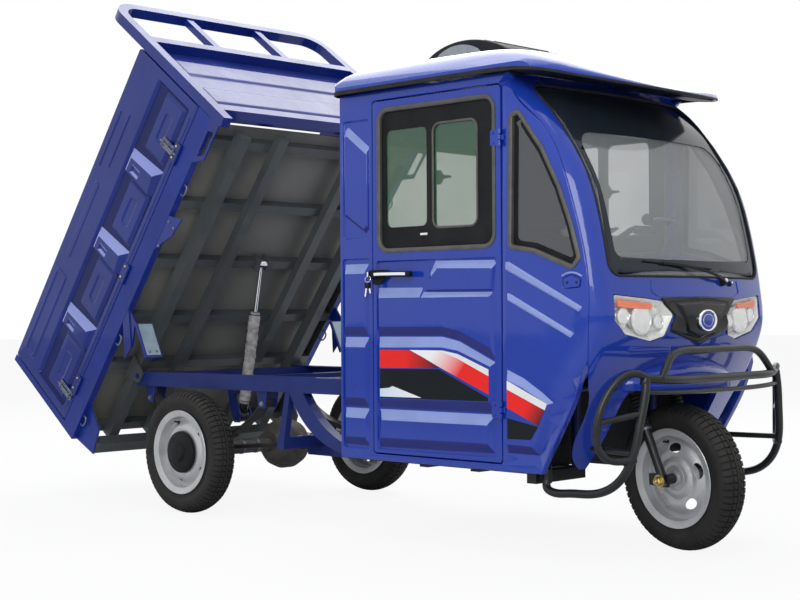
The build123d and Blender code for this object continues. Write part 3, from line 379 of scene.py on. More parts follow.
side_glass = window_glass("side_glass", (0.022, 0.12, 0.045), 0.38)
screen_glass = window_glass("screen_glass", (0.46, 0.5, 0.5), 0.24, ((0.012, 0.02, 0.03), 0.7, 0.486))
amber_lens = finish("amber_lens", (0.86, 0.13, 0.01), (0.92, 0.16, 0.014), (0.1, 0.16), 30.0, coat=0.3,
                    grain=(300.0, 0.02), specular=0.2)

# %% [markdown]
# Parts whose shape is already right keep their frame mesh and only get a finish.

# %% Finishes of the frame's own parts
def dress(material, *names):
    """Gives a finish to parts of the frame that keep their own shape."""
    for name in names:
        mesh = nodes[name].data
        mesh.materials.clear()
        mesh.materials.append(material)


dress(frame_paint, "chassis_frame")
dress(chassis_blue, "steering_head")
dress(chassis_black, "leaf_springs", "prop_shaft")
dress(black_steel, "fork", "handlebar", "ram_barrel")
dress(bed_frame_paint, "bed_frame")
dress(olive, "bed_floor")
dress(blue, "front_shell", "nose_fender", "cab_side_left", "cab_side_right", "door_left", "door_right",
      "cab_rear_wall")
dress(bed_blue, "headboard", "wheel_brackets")
dress(cast, "engine", "rear_axle")
dress(plastic, "dashboard", "firewall")
dress(inner_grey, "cab_floor", "seat_box")
dress(side_glass, "door_glass_left", "door_glass_right")
dress(screen_glass, "windows")
dress(bright, "ram_rod")

# %% [markdown]
# Every mesh here is built as a list of points and faces first.  A `Shape` collects them, and
# `make_piece` turns a finished shape into a named object that rides on its body.

# %% A shape under construction, and the piece made from it
class Shape:
    """Points and faces of one piece; every face remembers which of the piece's finishes it has."""

    def __init__(self):
        self.points, self.faces, self.finishes = [], [], []

    def add(self, points, faces, finish=0, place=None):
        """Adds a lump, moved by a matrix if one is given."""
        start = len(self.points)
        self.points += [place @ Vector(point) if place else Vector(point) for point in points]
        self.faces += [[start + index for index in face] for face in faces]
        self.finishes += [finish] * len(faces)


def make_piece(name, shape, finishes, body, stands_for=(), place=on_cab, sharp=36, join=2e-5):
    """Makes the object, joins points that meet, smooths all but sharp edges and ties it to its body."""
    thing = mesh_object(name, [place @ point for point in shape.points], shape.faces)
    mesh = thing.data
    for one in finishes:
        mesh.materials.append(one)
    mesh.polygons.foreach_set("material_index", shape.finishes)
    work = bmesh.new()
    work.from_mesh(mesh)
    if join:
        bmesh.ops.remove_doubles(work, verts=work.verts, dist=join)
    bmesh.ops.dissolve_degenerate(work, edges=work.edges, dist=1e-6)
    bmesh.ops.recalc_face_normals(work, faces=work.faces)
    work.to_mesh(mesh)
    work.free()
    mesh.shade_smooth()
    mesh.set_sharp_from_angle(angle=radians(sharp))
    weighted = thing.modifiers.new("flat faces stay flat", "WEIGHTED_NORMAL")
    weighted.keep_sharp = True
    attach(thing, body)
    if stands_for:
        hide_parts(*stands_for)
    print(name, "has", len(mesh.polygons), "faces")
    return thing


# %% [markdown]
# Long outlines are easier to read in millimetres, the way a drawing gives them.

# %% Points in millimetres
def mm(*numbers, size=2):
    """Points in metres, from coordinates in millimetres given one after another, size of them to a point."""
    return [tuple(number / 1000 for number in numbers[i:i + size]) for i in range(0, len(numbers), size)]

# %% [markdown]
# Outlines come next.  A corner is given once, as a sharp point, and `rounded` turns it into an arc.
# The same outline can be drawn in by a distance and still has as many points, so two of them can
# be joined by a ring of faces.  That is how every edge roll and pressed step is made.

# %% Outlines and curves
def rounded(corners, radius=0.0, steps=3, inset=0.0):
    """A closed outline, anticlockwise, with rounded corners, drawn in by inset (out if negative)."""
    count = len(corners)
    turn_sum = sum(corners[i - 1][0] * corners[i][1] - corners[i][0] * corners[i - 1][1] for i in range(count))
    radii = list(radius) if isinstance(radius, (list, tuple)) else [radius] * count
    if turn_sum < 0:
        corners, radii = list(reversed(corners)), list(reversed(radii))
    outline = []
    for i in range(count):
        before, here, after = (Vector(corners[j % count]) for j in (i - 1, i, i + 1))
        along, onward = (here - before).normalized(), (after - here).normalized()
        inward, inward_next = Vector((-along.y, along.x)), Vector((-onward.y, onward.x))
        corner = here + (inward + inward_next) * (inset / max(1 + inward.dot(inward_next), 0.25))
        swing = atan2(along.x * onward.y - along.y * onward.x, along.dot(onward))
        size = max(radii[i] - (inset if swing > 0 else -inset), 0.0006) if radii[i] else 0.0
        if not size or abs(swing) < 0.01:
            outline += [corner.copy() for _ in range(steps + 1 if radii[i] else 1)]
            continue
        normal = inward if swing > 0 else -inward
        middle = corner - along * size * abs(sin(swing / 2) / cos(swing / 2)) + normal * size
        for step in range(steps + 1):
            spin = Matrix.Rotation(swing * step / steps, 2)
            outline.append(middle - spin @ normal * size)
    return outline


def smooth_curve(points, per_span=8):
    """A smooth curve through points, as a drawn spline: straight at its ends, evenly bent between."""
    points = [Vector(point) for point in points]
    reach = [(b - a).length for a, b in zip(points, points[1:])]
    size = len(points)
    bend = [points[0] * 0 for _ in range(size)]
    across, share = [0.0] * size, [0.0] * size
    for i in range(1, size - 1):
        pull = 6 * ((points[i + 1] - points[i]) / reach[i] - (points[i] - points[i - 1]) / reach[i - 1])
        across[i] = 2 * (reach[i - 1] + reach[i]) - reach[i - 1] * share[i - 1]
        share[i] = reach[i] / across[i]
        bend[i] = (pull - reach[i - 1] * bend[i - 1]) / across[i]
    for i in range(size - 2, 0, -1):
        bend[i] = bend[i] - share[i] * bend[i + 1]
    curve = []
    for i, span in enumerate(reach):
        for step in range(per_span):
            t = step / per_span * span
            s = span - t
            curve.append((bend[i] * s ** 3 + bend[i + 1] * t ** 3) / (6 * span)
                         + (points[i] / span - bend[i] * span / 6) * s
                         + (points[i + 1] / span - bend[i + 1] * span / 6) * t)
    return curve + [points[-1]]


# %% [markdown]
# Four makers cover most hard parts: a bent tube, a turned part, a flat plate with rolled edges, and
# a strip of constant section run round an outline, such as a window seal.

# %% Tubes, turned parts, plates and strips
def loop_faces(rings, count, ends=False, loop=False):
    """Faces that join rings of count points, one to the next, and the last to the first in a loop."""
    size = rings * count
    faces = [(a + i, a + (i + 1) % count, (a + count) % size + (i + 1) % count, (a + count) % size + i)
             for a in range(0, size if loop else size - count, count) for i in range(count)]
    if ends:
        faces += [tuple(reversed(range(count))), tuple(range(size - count, size))]
    return faces


def bend_path(points, radius, steps=5):
    """A path of straight runs with an arc of the given radius at every corner."""
    points = [Vector(point) for point in points]
    path = [points[0]]
    for before, here, after in zip(points, points[1:], points[2:]):
        back, ahead = (before - here).normalized(), (after - here).normalized()
        half = back.angle(ahead) / 2
        cut = min(radius * cos(half) / sin(half), (before - here).length * 0.49, (after - here).length * 0.49)
        start, end = here + back * cut, here + ahead * cut
        for step in range(steps + 1):
            t = step / steps
            path.append((start * (1 - t) + here * t) * (1 - t) + (here * (1 - t) + end * t) * t)
    return path + [points[-1]]


def circle(radius, count=64):
    """A circle as an outline."""
    return [(radius * cos(2 * pi * i / count), radius * sin(2 * pi * i / count)) for i in range(count)]


def add_tube(shape, path, radius, sides=14, finish=0, section=None, up=None, closed=False):
    """A tube along a path.  A list of radii shapes it, and a section, an outline, is scaled by that list."""
    path = [Vector(point) for point in path]
    count = len(path)
    radii = radius if isinstance(radius, list) else [radius] * count
    outline = section or circle(1, sides)
    points, side = [], None
    for i, here in enumerate(path):
        before = path[i - 1] if i or closed else here
        after = path[(i + 1) % count] if i < count - 1 or closed else here
        ahead = (after - before).normalized()
        if up is not None:
            side = Vector(up).cross(ahead).normalized()
        elif side is None:
            side = ahead.orthogonal().normalized()
        else:
            side = (side - ahead * side.dot(ahead)).normalized()
        rise = ahead.cross(side)
        scale = radii[i] if isinstance(radius, list) or not section else 1.0
        points += [here + (side * a + rise * b) * scale for a, b in outline]
    shape.add(points, loop_faces(count, len(outline), not closed, closed), finish)


def add_turned(shape, profile, centre=(0, 0, 0), axis=(0, 1, 0), steps=32, finish=0):
    """A part turned on a lathe: the profile is (radius, distance along the axis), first to last."""
    axis = Vector(axis).normalized()
    side = axis.orthogonal().normalized()
    spin = [Matrix.Rotation(2 * pi * i / steps, 3, axis) @ side for i in range(steps)]
    points = [Vector(centre) + axis * along + ray * radius for radius, along in profile for ray in spin]
    shape.add(points, loop_faces(len(profile), steps, True), finish)


def add_rings(shape, corners, radius, steps, levels, lay, finish=0, ends=False):
    """Rings of faces round one outline through (inset, height) levels; lay puts (u, v, height) in place."""
    rings = [rounded(corners, radius, steps, inset) for inset, _ in levels]
    points = [lay(u, v, height) for ring, (_, height) in zip(rings, levels) for u, v in ring]
    shape.add(points, loop_faces(len(levels), len(rings[0]), ends), finish)


def add_plate(shape, outline, low, high, lay, roll=0.003, finish=0, radius=0.0, steps=3):
    """A flat plate with rolled edges."""
    levels = [(roll, low), (roll * 0.3, low + roll * 0.3), (0, low + roll), (0, high - roll),
              (roll * 0.3, high - roll * 0.3), (roll, high)]
    add_rings(shape, outline, radius, steps, levels, lay, finish, True)


def add_strip(shape, outline, section, lay, finish=0):
    """A closed strip round an outline; section is a list of (inset, height) all the way round it."""
    add_rings(shape, *outline, section + section[:1], lay, finish)


def raised(lay, by):
    """The same placement, further out."""
    return lambda u, v, height: lay(u, v, height + by)


# %% [markdown]
# Fastenings show that a part is bolted on.  A bolt is a washer, a chamfered six-sided head and a
# short stub of thread.

# %% Bolts
def add_bolt(shape, at, axis, size=0.006, finish=0, stub=0.0):
    """A hexagon head on a washer, facing along axis."""
    add_turned(shape, [(0.0001, 0), (size * 1.25, 0), (size * 1.25, size * 0.18), (0.0001, size * 0.2)], at, axis,
               16, finish)
    axis = Vector(axis).normalized()
    side = axis.orthogonal().normalized()
    rings = [(0.86, 0.15), (1.0, 0.2), (1.0, 0.72), (0.84, 0.86)]
    points = [Vector(at) + axis * size * up_by + Matrix.Rotation(pi / 3 * i, 3, axis) @ side * size * out
              for out, up_by in rings for i in range(6)]
    shape.add(points, loop_faces(4, 6, True), finish)
    if stub:
        add_turned(shape, [(size * 0.5, size * 0.8), (size * 0.5, stub), (size * 0.4, stub + size * 0.12)], at, axis,
                   10, finish)


# %% [markdown]
# Pressed sheet metal is the heart of this vehicle.  A panel is drawn as an outline with openings
# and reliefs.  Each relief's edge follows an S-shaped step like a press tool's, and the flat
# stretches between are filled with triangles.

# %% Pressed panels
press_step = [(0.0, 0.0), (0.14, 0.03), (0.32, 0.19), (0.68, 0.81), (0.86, 0.97), (1.0, 1.0)]
edge_roll = [(0.0, 1.0), (0.12, 0.55), (0.42, 0.16), (1.0, 0.0)]


def inside(point, outline):
    """True when a point lies inside an outline."""
    x, y = point
    hit = False
    for i in range(len(outline)):
        (ax, ay), (bx, by) = outline[i - 1], outline[i]
        if (ay > y) != (by > y) and x < (bx - ax) * (y - ay) / (by - ay) + ax:
            hit = not hit
    return hit


def fill_flat(shape, outer, holes, lay, height, finish=0, spacing=0.0):
    """Fills between an outline and the holes in it with triangles, all at one height."""
    points, edges = [], []
    for loop in [outer] + holes:
        start, size = len(points), len(loop)
        points += [Vector(point) for point in loop]
        edges += [(start + i, start + (i + 1) % size) for i in range(size)]
    if spacing:
        left, right = min(p[0] for p in outer), max(p[0] for p in outer)
        low, high = min(p[1] for p in outer), max(p[1] for p in outer)
        for i in range(1, ceil((right - left) / spacing)):
            for j in range(1, ceil((high - low) / spacing)):
                spot = (left + i * spacing, low + (j + 0.5 * (i % 2)) * spacing)
                if inside(spot, outer) and not any(inside(spot, hole) for hole in holes):
                    points.append(Vector(spot))
    flat, _, triangles, _, _, _ = delaunay_2d_cdt(points, edges, [], 0, 1e-6)
    kept = []
    for triangle in triangles:
        middle = sum((flat[i] for i in triangle), Vector((0, 0))) / 3
        if inside(middle, outer) and not any(inside(middle, hole) for hole in holes):
            kept.append(triangle)
    shape.add([lay(u, v, height) for u, v in flat], kept, finish)


def relief(corners, rise, slope, radius=0.006, steps=2, finish=0, slopes=None, top=None, within=()):
    """One pressed step: its outline at the surface, how far it rises, and what lies on its top.

    slopes gives the finishes of its sides that face up, sideways and down, and a fourth for the side
    that faces back.  Where the sides differ in width, top is the outline of its flat top."""
    slopes = tuple(slopes or (finish, finish, finish))
    return {"corners": corners, "rise": rise, "slope": slope, "radius": radius, "steps": steps, "finish": finish,
            "slopes": slopes + slopes[1:2] if len(slopes) == 3 else slopes, "top": top, "within": list(within)}


def press(shape, outer, openings, reliefs, lay, height, finish, spacing):
    """Fills one level and then every relief on it, each with its own reliefs."""
    feet = [rounded(one["corners"], one["radius"], one["steps"]) for one in reliefs]
    fill_flat(shape, outer, list(openings) + feet, lay, height, finish, spacing)
    for one, foot in zip(reliefs, feet):
        if one["top"]:
            top = rounded(one["top"], one["radius"], one["steps"])
        else:
            top = rounded(one["corners"], one["radius"], one["steps"], one["slope"])
        count = len(foot)
        points = [lay(*(a.lerp(b, t)), height + one["rise"] * s) for t, s in press_step for a, b in zip(foot, top)]
        faces = loop_faces(len(press_step), count)
        upright, forward, down, backward = [], [], [], []
        sense = 1 if one["rise"] > 0 else -1
        for index, face in enumerate(faces):
            i = index % count
            run = foot[(i + 1) % count] - foot[i]
            tilt = 0.0 if run.length < 1e-7 else -run.x / run.length * sense
            sideways = forward if run.y * sense >= 0 else backward
            (upright if tilt > 0.5 else down if tilt < -0.5 else sideways).append(face)
        start = len(shape.points)
        shape.add(points, [], 0)
        for group, its_finish in zip((upright, forward, down, backward), one["slopes"]):
            shape.faces += [[start + index for index in face] for face in group]
            shape.finishes += [its_finish] * len(group)
        press(shape, top, [], one["within"], lay, height + one["rise"], one["finish"], spacing)


def add_panel(shape, outline, openings, reliefs, depth, lay, roll=0.004, spacing=0.0):
    """A pressed panel: rolled edges outside and round each opening, reliefs, and a flat back skin."""
    front = [(roll * t, -roll * s) for t, s in edge_roll]
    levels = [(inset, -depth - height) for inset, height in reversed(front)] + front
    add_rings(shape, *outline, levels, lay)
    for opening in openings:
        add_rings(shape, *opening, [(-inset, height) for inset, height in levels], lay)
    holes = [rounded(*opening, -roll) for opening in openings]
    face = rounded(*outline, roll)
    press(shape, face, holes, reliefs, lay, 0.0, 0, spacing)
    fill_flat(shape, face, holes, lay, -depth, 0, spacing)


def box_corners(u_low, u_high, v_low, v_high):
    """The four corners of a rectangle."""
    return [(u_low, v_low), (u_high, v_low), (u_high, v_high), (u_low, v_high)]


print("tools ready")

# %% [markdown]
# The cab's side is one deep-drawn skin with the door set in it.  Behind the door and on it the
# skin is pressed into raised pads.  Their wide upper slopes are painted a pale silver-blue as a
# painted highlight, for the sky that the gloss would mirror, and their lower slopes are painted a
# darker blue as painted shade.  The front edge bends inward towards the nose, so heights are
# measured from the frame's own skin, found by a ray from outside.

# %% The side's skin and its placement
outer_y = 0.527


def skin_tree(*names):
    """A search tree over some of the frame's parts."""
    points, faces = [], []
    for name in names:
        first = len(points)
        points += [vertex.co.copy() for vertex in nodes[name].data.vertices]
        faces += [[first + i for i in polygon.vertices] for polygon in nodes[name].data.polygons]
    return BVHTree.FromPolygons(points, faces)


side_skin = skin_tree("cab_side_right", "front_shell")


def on_side(x, z, height):
    """A place on the right-hand skin, height being how far it stands out."""
    y = -outer_y
    if x > 1.7:
        spot, _, _, _ = side_skin.ray_cast(Vector((x + datum_x, -1.0, z)), Vector((0, 1, 0)))
        if spot is not None and spot.y < -0.46:
            y = spot.y
    return (x, y - height, z)


both_sides = (("right", on_cab), ("left", on_cab @ Matrix.Scale(-1, 4, (0, 1, 0))))


def make_both(name, shape, finishes, body, stands_for=(), places=both_sides, join=2e-5):
    """A right-hand piece and its mirror image; a body or node that ends in _ takes the side's name."""
    for side_name, place in places:
        body_here, *nodes_here = (word + side_name if word.endswith("_") else word for word in (body, *stands_for))
        make_piece(name + "_" + side_name, shape, finishes, body_here, nodes_here, place, join=join)


# Painted shade: a darker copy of the body blue for the pads' lower slopes, which face down.
slope_shade_blue = finish("shaded_blue_paint", (0.009, 0.016, 0.15), (0.012, 0.02, 0.17), (0.3, 0.42), 3.0, coat=0.3,
                   grain=(900.0, 0.012), specular=0.12)
# Pad slopes: the painted highlight film on the upper ones, body blue at the sides, painted shade on the lower ones.
pad_slopes = (1, 0, 2)
panel_finishes = [blue, painted_sky_highlight, slope_shade_blue]

# %% [markdown]
# A pad is given by two outlines, its foot and its flat top.  All the pads that stand one above
# another in a column share this helper: each row gives the foot's and the top's two heights.

# %% Pads
pad_rise = 0.009


def pad_column(left, right, rows):
    """Raised pads above one another: rows are (foot low, top low, top high, foot high)."""
    return [relief(box_corners(left, right, foot_low, foot_high), pad_rise, 0, 0.004, slopes=pad_slopes,
                   top=box_corners(left + 0.009, right - 0.0144, low, high)) for foot_low, low, high, foot_high in rows]


rear_rows = [(0.338, 0.368, 0.438, 0.475), (0.48, 0.514, 0.701, 0.738), (0.743, 0.776, 0.973, 1.009)]
rear_pads = pad_column(0.932, 1.058, rear_rows)
upper_pad = relief(mm(936, 1190, 1045, 1122, 1064, 1140, 1064, 1440, 954, 1522, 936, 1510), pad_rise, 0, 0.004,
                   slopes=pad_slopes, top=mm(942, 1199, 1041, 1138, 1056, 1150, 1056, 1412, 950, 1490, 942, 1482))

front_pad = relief(mm(1729, 352, 1856, 350, 1872, 378, 1908, 470, 1926, 528, 1880, 560, 1800, 606, 1727, 634), 0.007,
                   0, 0.003, slopes=pad_slopes, top=mm(1732, 382, 1834, 380, 1850, 400, 1893, 485, 1905, 522, 1862,
                                                       543, 1795, 575, 1731, 598))
# The two ribs on the front quarter are wholly in the painted highlight film.
front_ribs = [relief(corners, 0.005, 0.006, 0.003, finish=1, slopes=(1, 1, 1)) for corners in (
    mm(1722, 972, 2031, 828, 2046, 843, 1738, 998, 1722, 997),
    mm(1731, 868, 1997, 743, 2012, 758, 1741, 891, 1729, 891))]
plate_seat = relief(mm(1966, 900, 2040, 905, 2046, 938, 2003, 952, 1963, 940), -0.004, 0.004, 0.01, 3)

# %% [markdown]
# The side's outline follows the seam with the front shell.  The seam is a drawn spline, so the
# same points are joined by a spline here, and the panel stops a hair short of it.

# %% Side panels
side_low, side_high = 0.289, 1.64
seam = smooth_curve(mm(1716, 1700, 1757, 1569, 1862, 1467, 1947, 1344, 2021, 1141, 2064, 942, 2066, 771, 2012, 541,
                       1918, 373, 1840, 220), 7)
seam_part = [(p.x - 0.0015, p.y) for p in reversed(seam) if side_low + 0.01 < p.y < side_high - 0.01]
side_outline = [(0.914, side_low), (1.874, side_low)] + seam_part + [(1.733, side_high), (0.914, side_high)]
side_radii = [0.007, 0.0] + [0.0] * len(seam_part) + [0.0, 0.007]
door_rear, door_front, door_foot, door_head = 1.085, 1.706, 0.312, 1.606
door_hole = (box_corners(door_rear, door_front, door_foot, door_head), 0.014, 4)
quarter_outline = mm(1744, 1050, 1846, 1034, 2006, 974, 2030, 1004, 2000, 1110, 1950, 1240, 1880, 1370, 1780, 1500,
                     1752, 1490)
quarter_hole = (quarter_outline, 0.012, 4)

panel = Shape()
add_panel(panel, (side_outline, side_radii, 3), [door_hole, quarter_hole],
          [relief(box_corners(0.926, 1.072, 0.326, 1.03), -pad_rise, 0.005, 0.012, within=rear_pads),
           relief(box_corners(0.926, 1.072, 1.1, 1.545), -pad_rise, 0.008, 0.012, within=[upper_pad],
                  slopes=(0, 0, 0)), front_pad, plate_seat] + front_ribs, 0.027, on_side, spacing=0.045)
make_both("side_panel", panel, panel_finishes, "vehicle", ("cab_side_",))

# %% [markdown]
# The door is pressed the same way.  Its middle pad has a top edge that runs level and then bends
# down to the front, which the coloured stripe follows.  The window opening takes a rubber seal.

# %% Doors
door_edge = 0.0035
door_outline = (box_corners(door_rear + door_edge, door_front - door_edge, door_foot + door_edge,
                            door_head - door_edge), 0.012, 4)
window_corners = box_corners(1.122, 1.672, 1.056, 1.566)
window_hole = (window_corners, 0.042, 6)

foot_pad = relief(mm(1114, 337, 1666, 345, 1667, 478, 1113, 476), pad_rise, 0, 0.004,
                  slopes=pad_slopes, top=mm(1122, 372, 1638, 378, 1636, 440, 1130, 436))
stripe_pad = relief(mm(1112, 481, 1668, 483, 1668, 657, 1504, 727, 1425, 742, 1111, 740),
                    pad_rise, 0, [0.004, 0.004, 0.004, 0.06, 0.06, 0.004], 3, slopes=pad_slopes,
                    top=mm(1122, 514, 1650, 520, 1650, 642, 1502, 695, 1425, 705, 1121, 701))
middle_pad = relief(mm(1111, 744, 1425, 746, 1506, 731, 1668, 662, 1658, 897, 1336, 900, 1329, 917, 1110, 919),
                    pad_rise, 0, [0.004, 0.06, 0.06, 0.004, 0.004, 0.004, 0.004, 0.004], 3, slopes=pad_slopes,
                    top=mm(1119, 776, 1430, 778, 1515, 762, 1654, 704, 1643, 881, 1330, 881, 1322, 882, 1117, 882))
handle_pad = relief(mm(1346, 905, 1664, 903, 1674, 994, 1667, 1006, 1394, 1011, 1368, 966), pad_rise, 0, 0.003,
                    slopes=pad_slopes, top=mm(1356, 909, 1654, 907, 1662, 975, 1655, 978, 1408, 984, 1379, 956))

panel = Shape()
sunk = relief(box_corners(1.104, 1.682, 0.329, 1.018), -pad_rise, 0.006, 0.012,
              within=[foot_pad, stripe_pad, middle_pad, handle_pad])
add_panel(panel, door_outline, [window_hole], [sunk], 0.027, on_side)
make_both("door_panel", panel, panel_finishes, "cab_door_", ("door_",))

# %% [markdown]
# Each hinge is two leaves round a pin: one is screwed to the door's edge and the other to the
# pillar.  The knuckles sit on the line that the door turns about.

# %% Door hinges
hinge_axis_y = -(outer_y + 0.008)
leaves, pillar_parts = Shape(), Shape()
for z in (0.496, 1.421):
    for part, span in ((leaves, (-0.031, -0.011)), (pillar_parts, (-0.009, 0.009)), (leaves, (0.011, 0.031))):
        add_turned(part, [(0.0045, span[0]), (0.0068, span[0] + 0.001), (0.0068, span[1] - 0.001),
                          (0.0045, span[1])], (door_front, hinge_axis_y, z), (0, 0, 1), 16)
    add_plate(leaves, box_corners(1.662, 1.704, z - 0.028, z + 0.028), 0.0005, 0.005, on_side, 0.0012, 0, 0.006)
    add_plate(pillar_parts, box_corners(1.709, 1.722, z - 0.009, z + 0.009), 0.0005, 0.005, on_side, 0.0012, 0, 0.002)
    for dz in (-0.017, 0.017):
        add_bolt(leaves, (1.675, -outer_y - 0.005, z + dz), (0, -1, 0), 0.0045)
make_both("door_hinge", leaves, [blue], "cab_door_")
make_both("pillar_hinge", pillar_parts, [blue], "vehicle")

# %% [markdown]
# The side stripe is cut vinyl on the stripe pad and again on the front quarter.  Two of its films
# are printed from one colour to another.  Each film is a real sheet, a little under half a
# millimetre thick, so that it lies on the paint and never flickers against it.

# %% Printed films
def faded_film(name, first, second, start, end):
    """Vinyl printed from one colour to another between two places of the side, given as (x, z)."""
    material, tree, surface = shader(name)
    run = Vector((end[0] - start[0], 0, end[1] - start[1]))
    place = node(tree, "TexCoord").outputs["Object"]
    offset = node(tree, "VectorMath", (place, (start[0] + datum_x, 0, start[1])), operation="SUBTRACT")
    along = node(tree, "VectorMath", (offset.outputs[0], run / run.length_squared), operation="DOT_PRODUCT")
    feed(tree, surface, {"Base Color": blend_colour(tree, spread(tree, along.outputs["Value"], 0, 1), first, second),
                         "Roughness": spread(tree, noise_at(tree, 60.0), 0.3, 0.7, 0.2, 0.28), "Coat Weight": 0.35,
                         "Coat Roughness": 0.04, "Specular IOR Level": 0.12})
    return material


red, dark_red, white = (0.8, 0.018, 0.014), (0.09, 0.01, 0.016), (0.86, 0.86, 0.85)
red_to_dark = faded_film("red_to_dark_film", red, dark_red, (1.25, 0.66), (1.4, 0.64))
white_to_red = faded_film("white_to_red_film", white, red, (1.39, 0.69), (1.5, 0.6))
red_to_shade = faded_film("red_to_shade_film", red, dark_red, (1.8, 0.49), (1.86, 0.445))
sliver_film = faded_film("pale_sliver_film", (0.62, 0.74, 0.86), white, (1.13, 0.53), (1.3, 0.53))


film_thickness = 0.0006


def add_film(shape, outline, lay, height, finish=0):
    """A thin film with a closed edge, laid on a surface at a height."""
    add_rings(shape, outline, 0.0, 3, [(0, height - film_thickness), (0, height)], lay, finish)
    for level in (height, height - film_thickness):
        fill_flat(shape, rounded(outline), [], lay, level, finish)


door_films = [(0, mm(1122, 693, 1267, 693, 1335, 670, 1417, 632, 1122, 627), 0.0005),
              (1, mm(1272, 694, 1434, 694, 1503, 683, 1645, 632, 1645, 546, 1420, 634, 1335, 670), 0.0007),
              (2, mm(1410, 693.5, 1434, 694, 1503, 683, 1645, 632, 1645, 609, 1500, 668), 0.001),
              (3, mm(1122, 623, 1414, 628, 1641, 535, 1641, 522.5, 1122, 517.5), 0.0005),
              (4, mm(1122, 551, 1168, 555, 1186, 562, 1330, 524, 1122, 522), 0.0008)]
quarter_films = [(2, mm(1731.5, 596, 1736, 595, 1903, 524, 1894, 503, 1731.5, 567), 0.0076),
                 (5, mm(1731.5, 566, 1893, 502, 1866, 450, 1731.5, 505), 0.0076),
                 (3, mm(1733, 470, 1865.5, 447, 1834, 402, 1733, 400), 0.0076)]
film_finishes = [red_to_dark, white_to_red, white_film, black_film, sliver_film, red_to_shade]

for part_name, films, body in (("door_stripe", door_films, "cab_door_"), ("quarter_stripe", quarter_films, "vehicle")):
    stripe = Shape()
    for number, outline, height in films:
        add_film(stripe, outline, on_side, height, number)
    make_both(part_name, stripe, film_finishes, body, join=0)

# %% [markdown]
# Window rubber is one moulding pushed over the edge of the steel.  Its section hooks round the
# panel, so it shows as a soft bead outside and inside.

# %% Window seals
seal_section = mm(-10, 0.4, -9.5, 3, -5, 5, 1, 4.6, 5.5, 1, 6.2, -5, 6.2, -24, 3, -30, -8, -30, -8.5, -27.6, 0.3,
                  -27.4, 0.3, 0.4)
seal_grey = finish("grey_seal", (0.06, 0.058, 0.054), (0.085, 0.082, 0.076), (0.4, 0.55), 25.0, grain=(900.0, 0.1))
for part_name, outline, body in (("door_seal", window_hole, "cab_door_"),
                                 ("quarter_seal", (quarter_outline, 0.013, 4), "vehicle")):
    seal = Shape()
    add_strip(seal, outline, seal_section, on_side)
    make_both(part_name, seal, [seal_grey], body)

# %% [markdown]
# The door's window is two panes in a wide black frame.  The rear pane is fixed and the front one
# slides, so the front one has its own rubber edge and a catch.  The frame is two thin pressings,
# one each side of the glass.

# %% Sliding window frames
def facing_right(y):
    """A placement on a flat face that looks to the right: along, up and how far it stands out."""
    return lambda x, z, height: (x, -y - height, z)


on_glass = facing_right(0.512)


rear_pane = (box_corners(1.15, 1.352, 1.138, 1.492), 0.022, 4)
front_pane = (box_corners(1.384, 1.592, 1.128, 1.498), 0.03, 5)
frame_outline = (box_corners(1.1275, 1.6665, 1.0615, 1.5605), 0.037, 6)
pane_bead = mm(-4, 0.5, -3, 3.4, 1, 4, 4, 2.2, 4, -1.2, 0, -1.4)
frames = Shape()
for level in (0.006, -0.0028):
    add_panel(frames, frame_outline, [rear_pane, front_pane], [], 0.0032, raised(on_glass, level), roll=0.001)
rail = box_corners(1.352, 1.384, 1.075, 1.548)
add_plate(frames, rail, -0.014, -0.0062, on_glass, 0.002)
add_strip(frames, front_pane, [(i, h + 0.006) for i, h in pane_bead], on_glass, 1)
add_plate(frames, box_corners(1.322, 1.356, 1.104, 1.112), 0.006, 0.0095, on_glass, 0.001, 2)
catch = mm(1390, 1282, 1404, 1282, 1416, 1300, 1452, 1303, 1452, 1311, 1416, 1314, 1404, 1332, 1390, 1332)
add_rings(frames, catch, 0.003, 2, mm(1, -16, 0, -14, 0, -6), on_glass)
fill_flat(frames, rounded(catch, 0.003, 2, 0.001), [], on_glass, -0.016)
fill_flat(frames, rounded(catch, 0.003, 2), [], on_glass, -0.006)
make_both("window_frame", frames, [plastic, seal_grey, white_film], "cab_door_")

# %% [markdown]
# The quarter window is fixed glass with a black printed border.  The border is a film on the inside
# of the pane in real life; here it is a thin plate each side, which looks the same from both.

# %% Quarter window borders
quarter_rim = rounded(quarter_outline, 0, 0, 0.0065)
quarter_clear = (rounded(quarter_outline, 0, 0, 0.024), 0.02, 4)
border = Shape()
for level in (0.0036, -0.0027):
    add_panel(border, (quarter_rim, 0.008, 4), [quarter_clear], [], 0.0009, raised(on_glass, level), roll=0.0004)
make_both("quarter_border", border, [plastic], "vehicle")

# %% [markdown]
# The handle is a flat bar on two feet with a lock behind it.  The key stays in the lock with its
# twin on a ring, hanging down.

# %% Door handles and keys
def rounded_bar(width, height):
    """The section of a bar with rounded edges."""
    return rounded(box_corners(-width / 2, width / 2, -height / 2, height / 2), 0.35 * min(width, height), 4)


handle = Shape()
out, z = -outer_y, 0.967
add_plate(handle, [(1.093, z - 0.036), (1.128, z - 0.036), (1.16, z - 0.012), (1.16, z + 0.018),
                   (1.093, z + 0.018)], 0.0002, 0.0065, on_side, 0.0025, 0, 0.008)
bar = smooth_curve([(1.112, out - 0.019, z), (1.135, out - 0.0235, z + 0.001), (1.2, out - 0.0255, z + 0.001),
                    (1.275, out - 0.0245, z), (1.2975, out - 0.019, z - 0.001)], 5)
add_tube(handle, bar, 1.0, section=rounded_bar(0.021, 0.02), up=(0, 1, 0))
add_tube(handle, [Vector(p) + Vector((0, -0.0112, 0)) for p in bar[3:-3]], 1.0,
         section=rounded_bar(0.0105, 0.0022), up=(0, 1, 0), finish=1)
for x in (1.137, 1.275):
    add_tube(handle, [(x, out - 0.0002, z), (x, out - 0.004, z), (x, out - 0.02, z)], 1.0,
             section=rounded_bar(0.024, 0.019), up=(0, 0, 1))
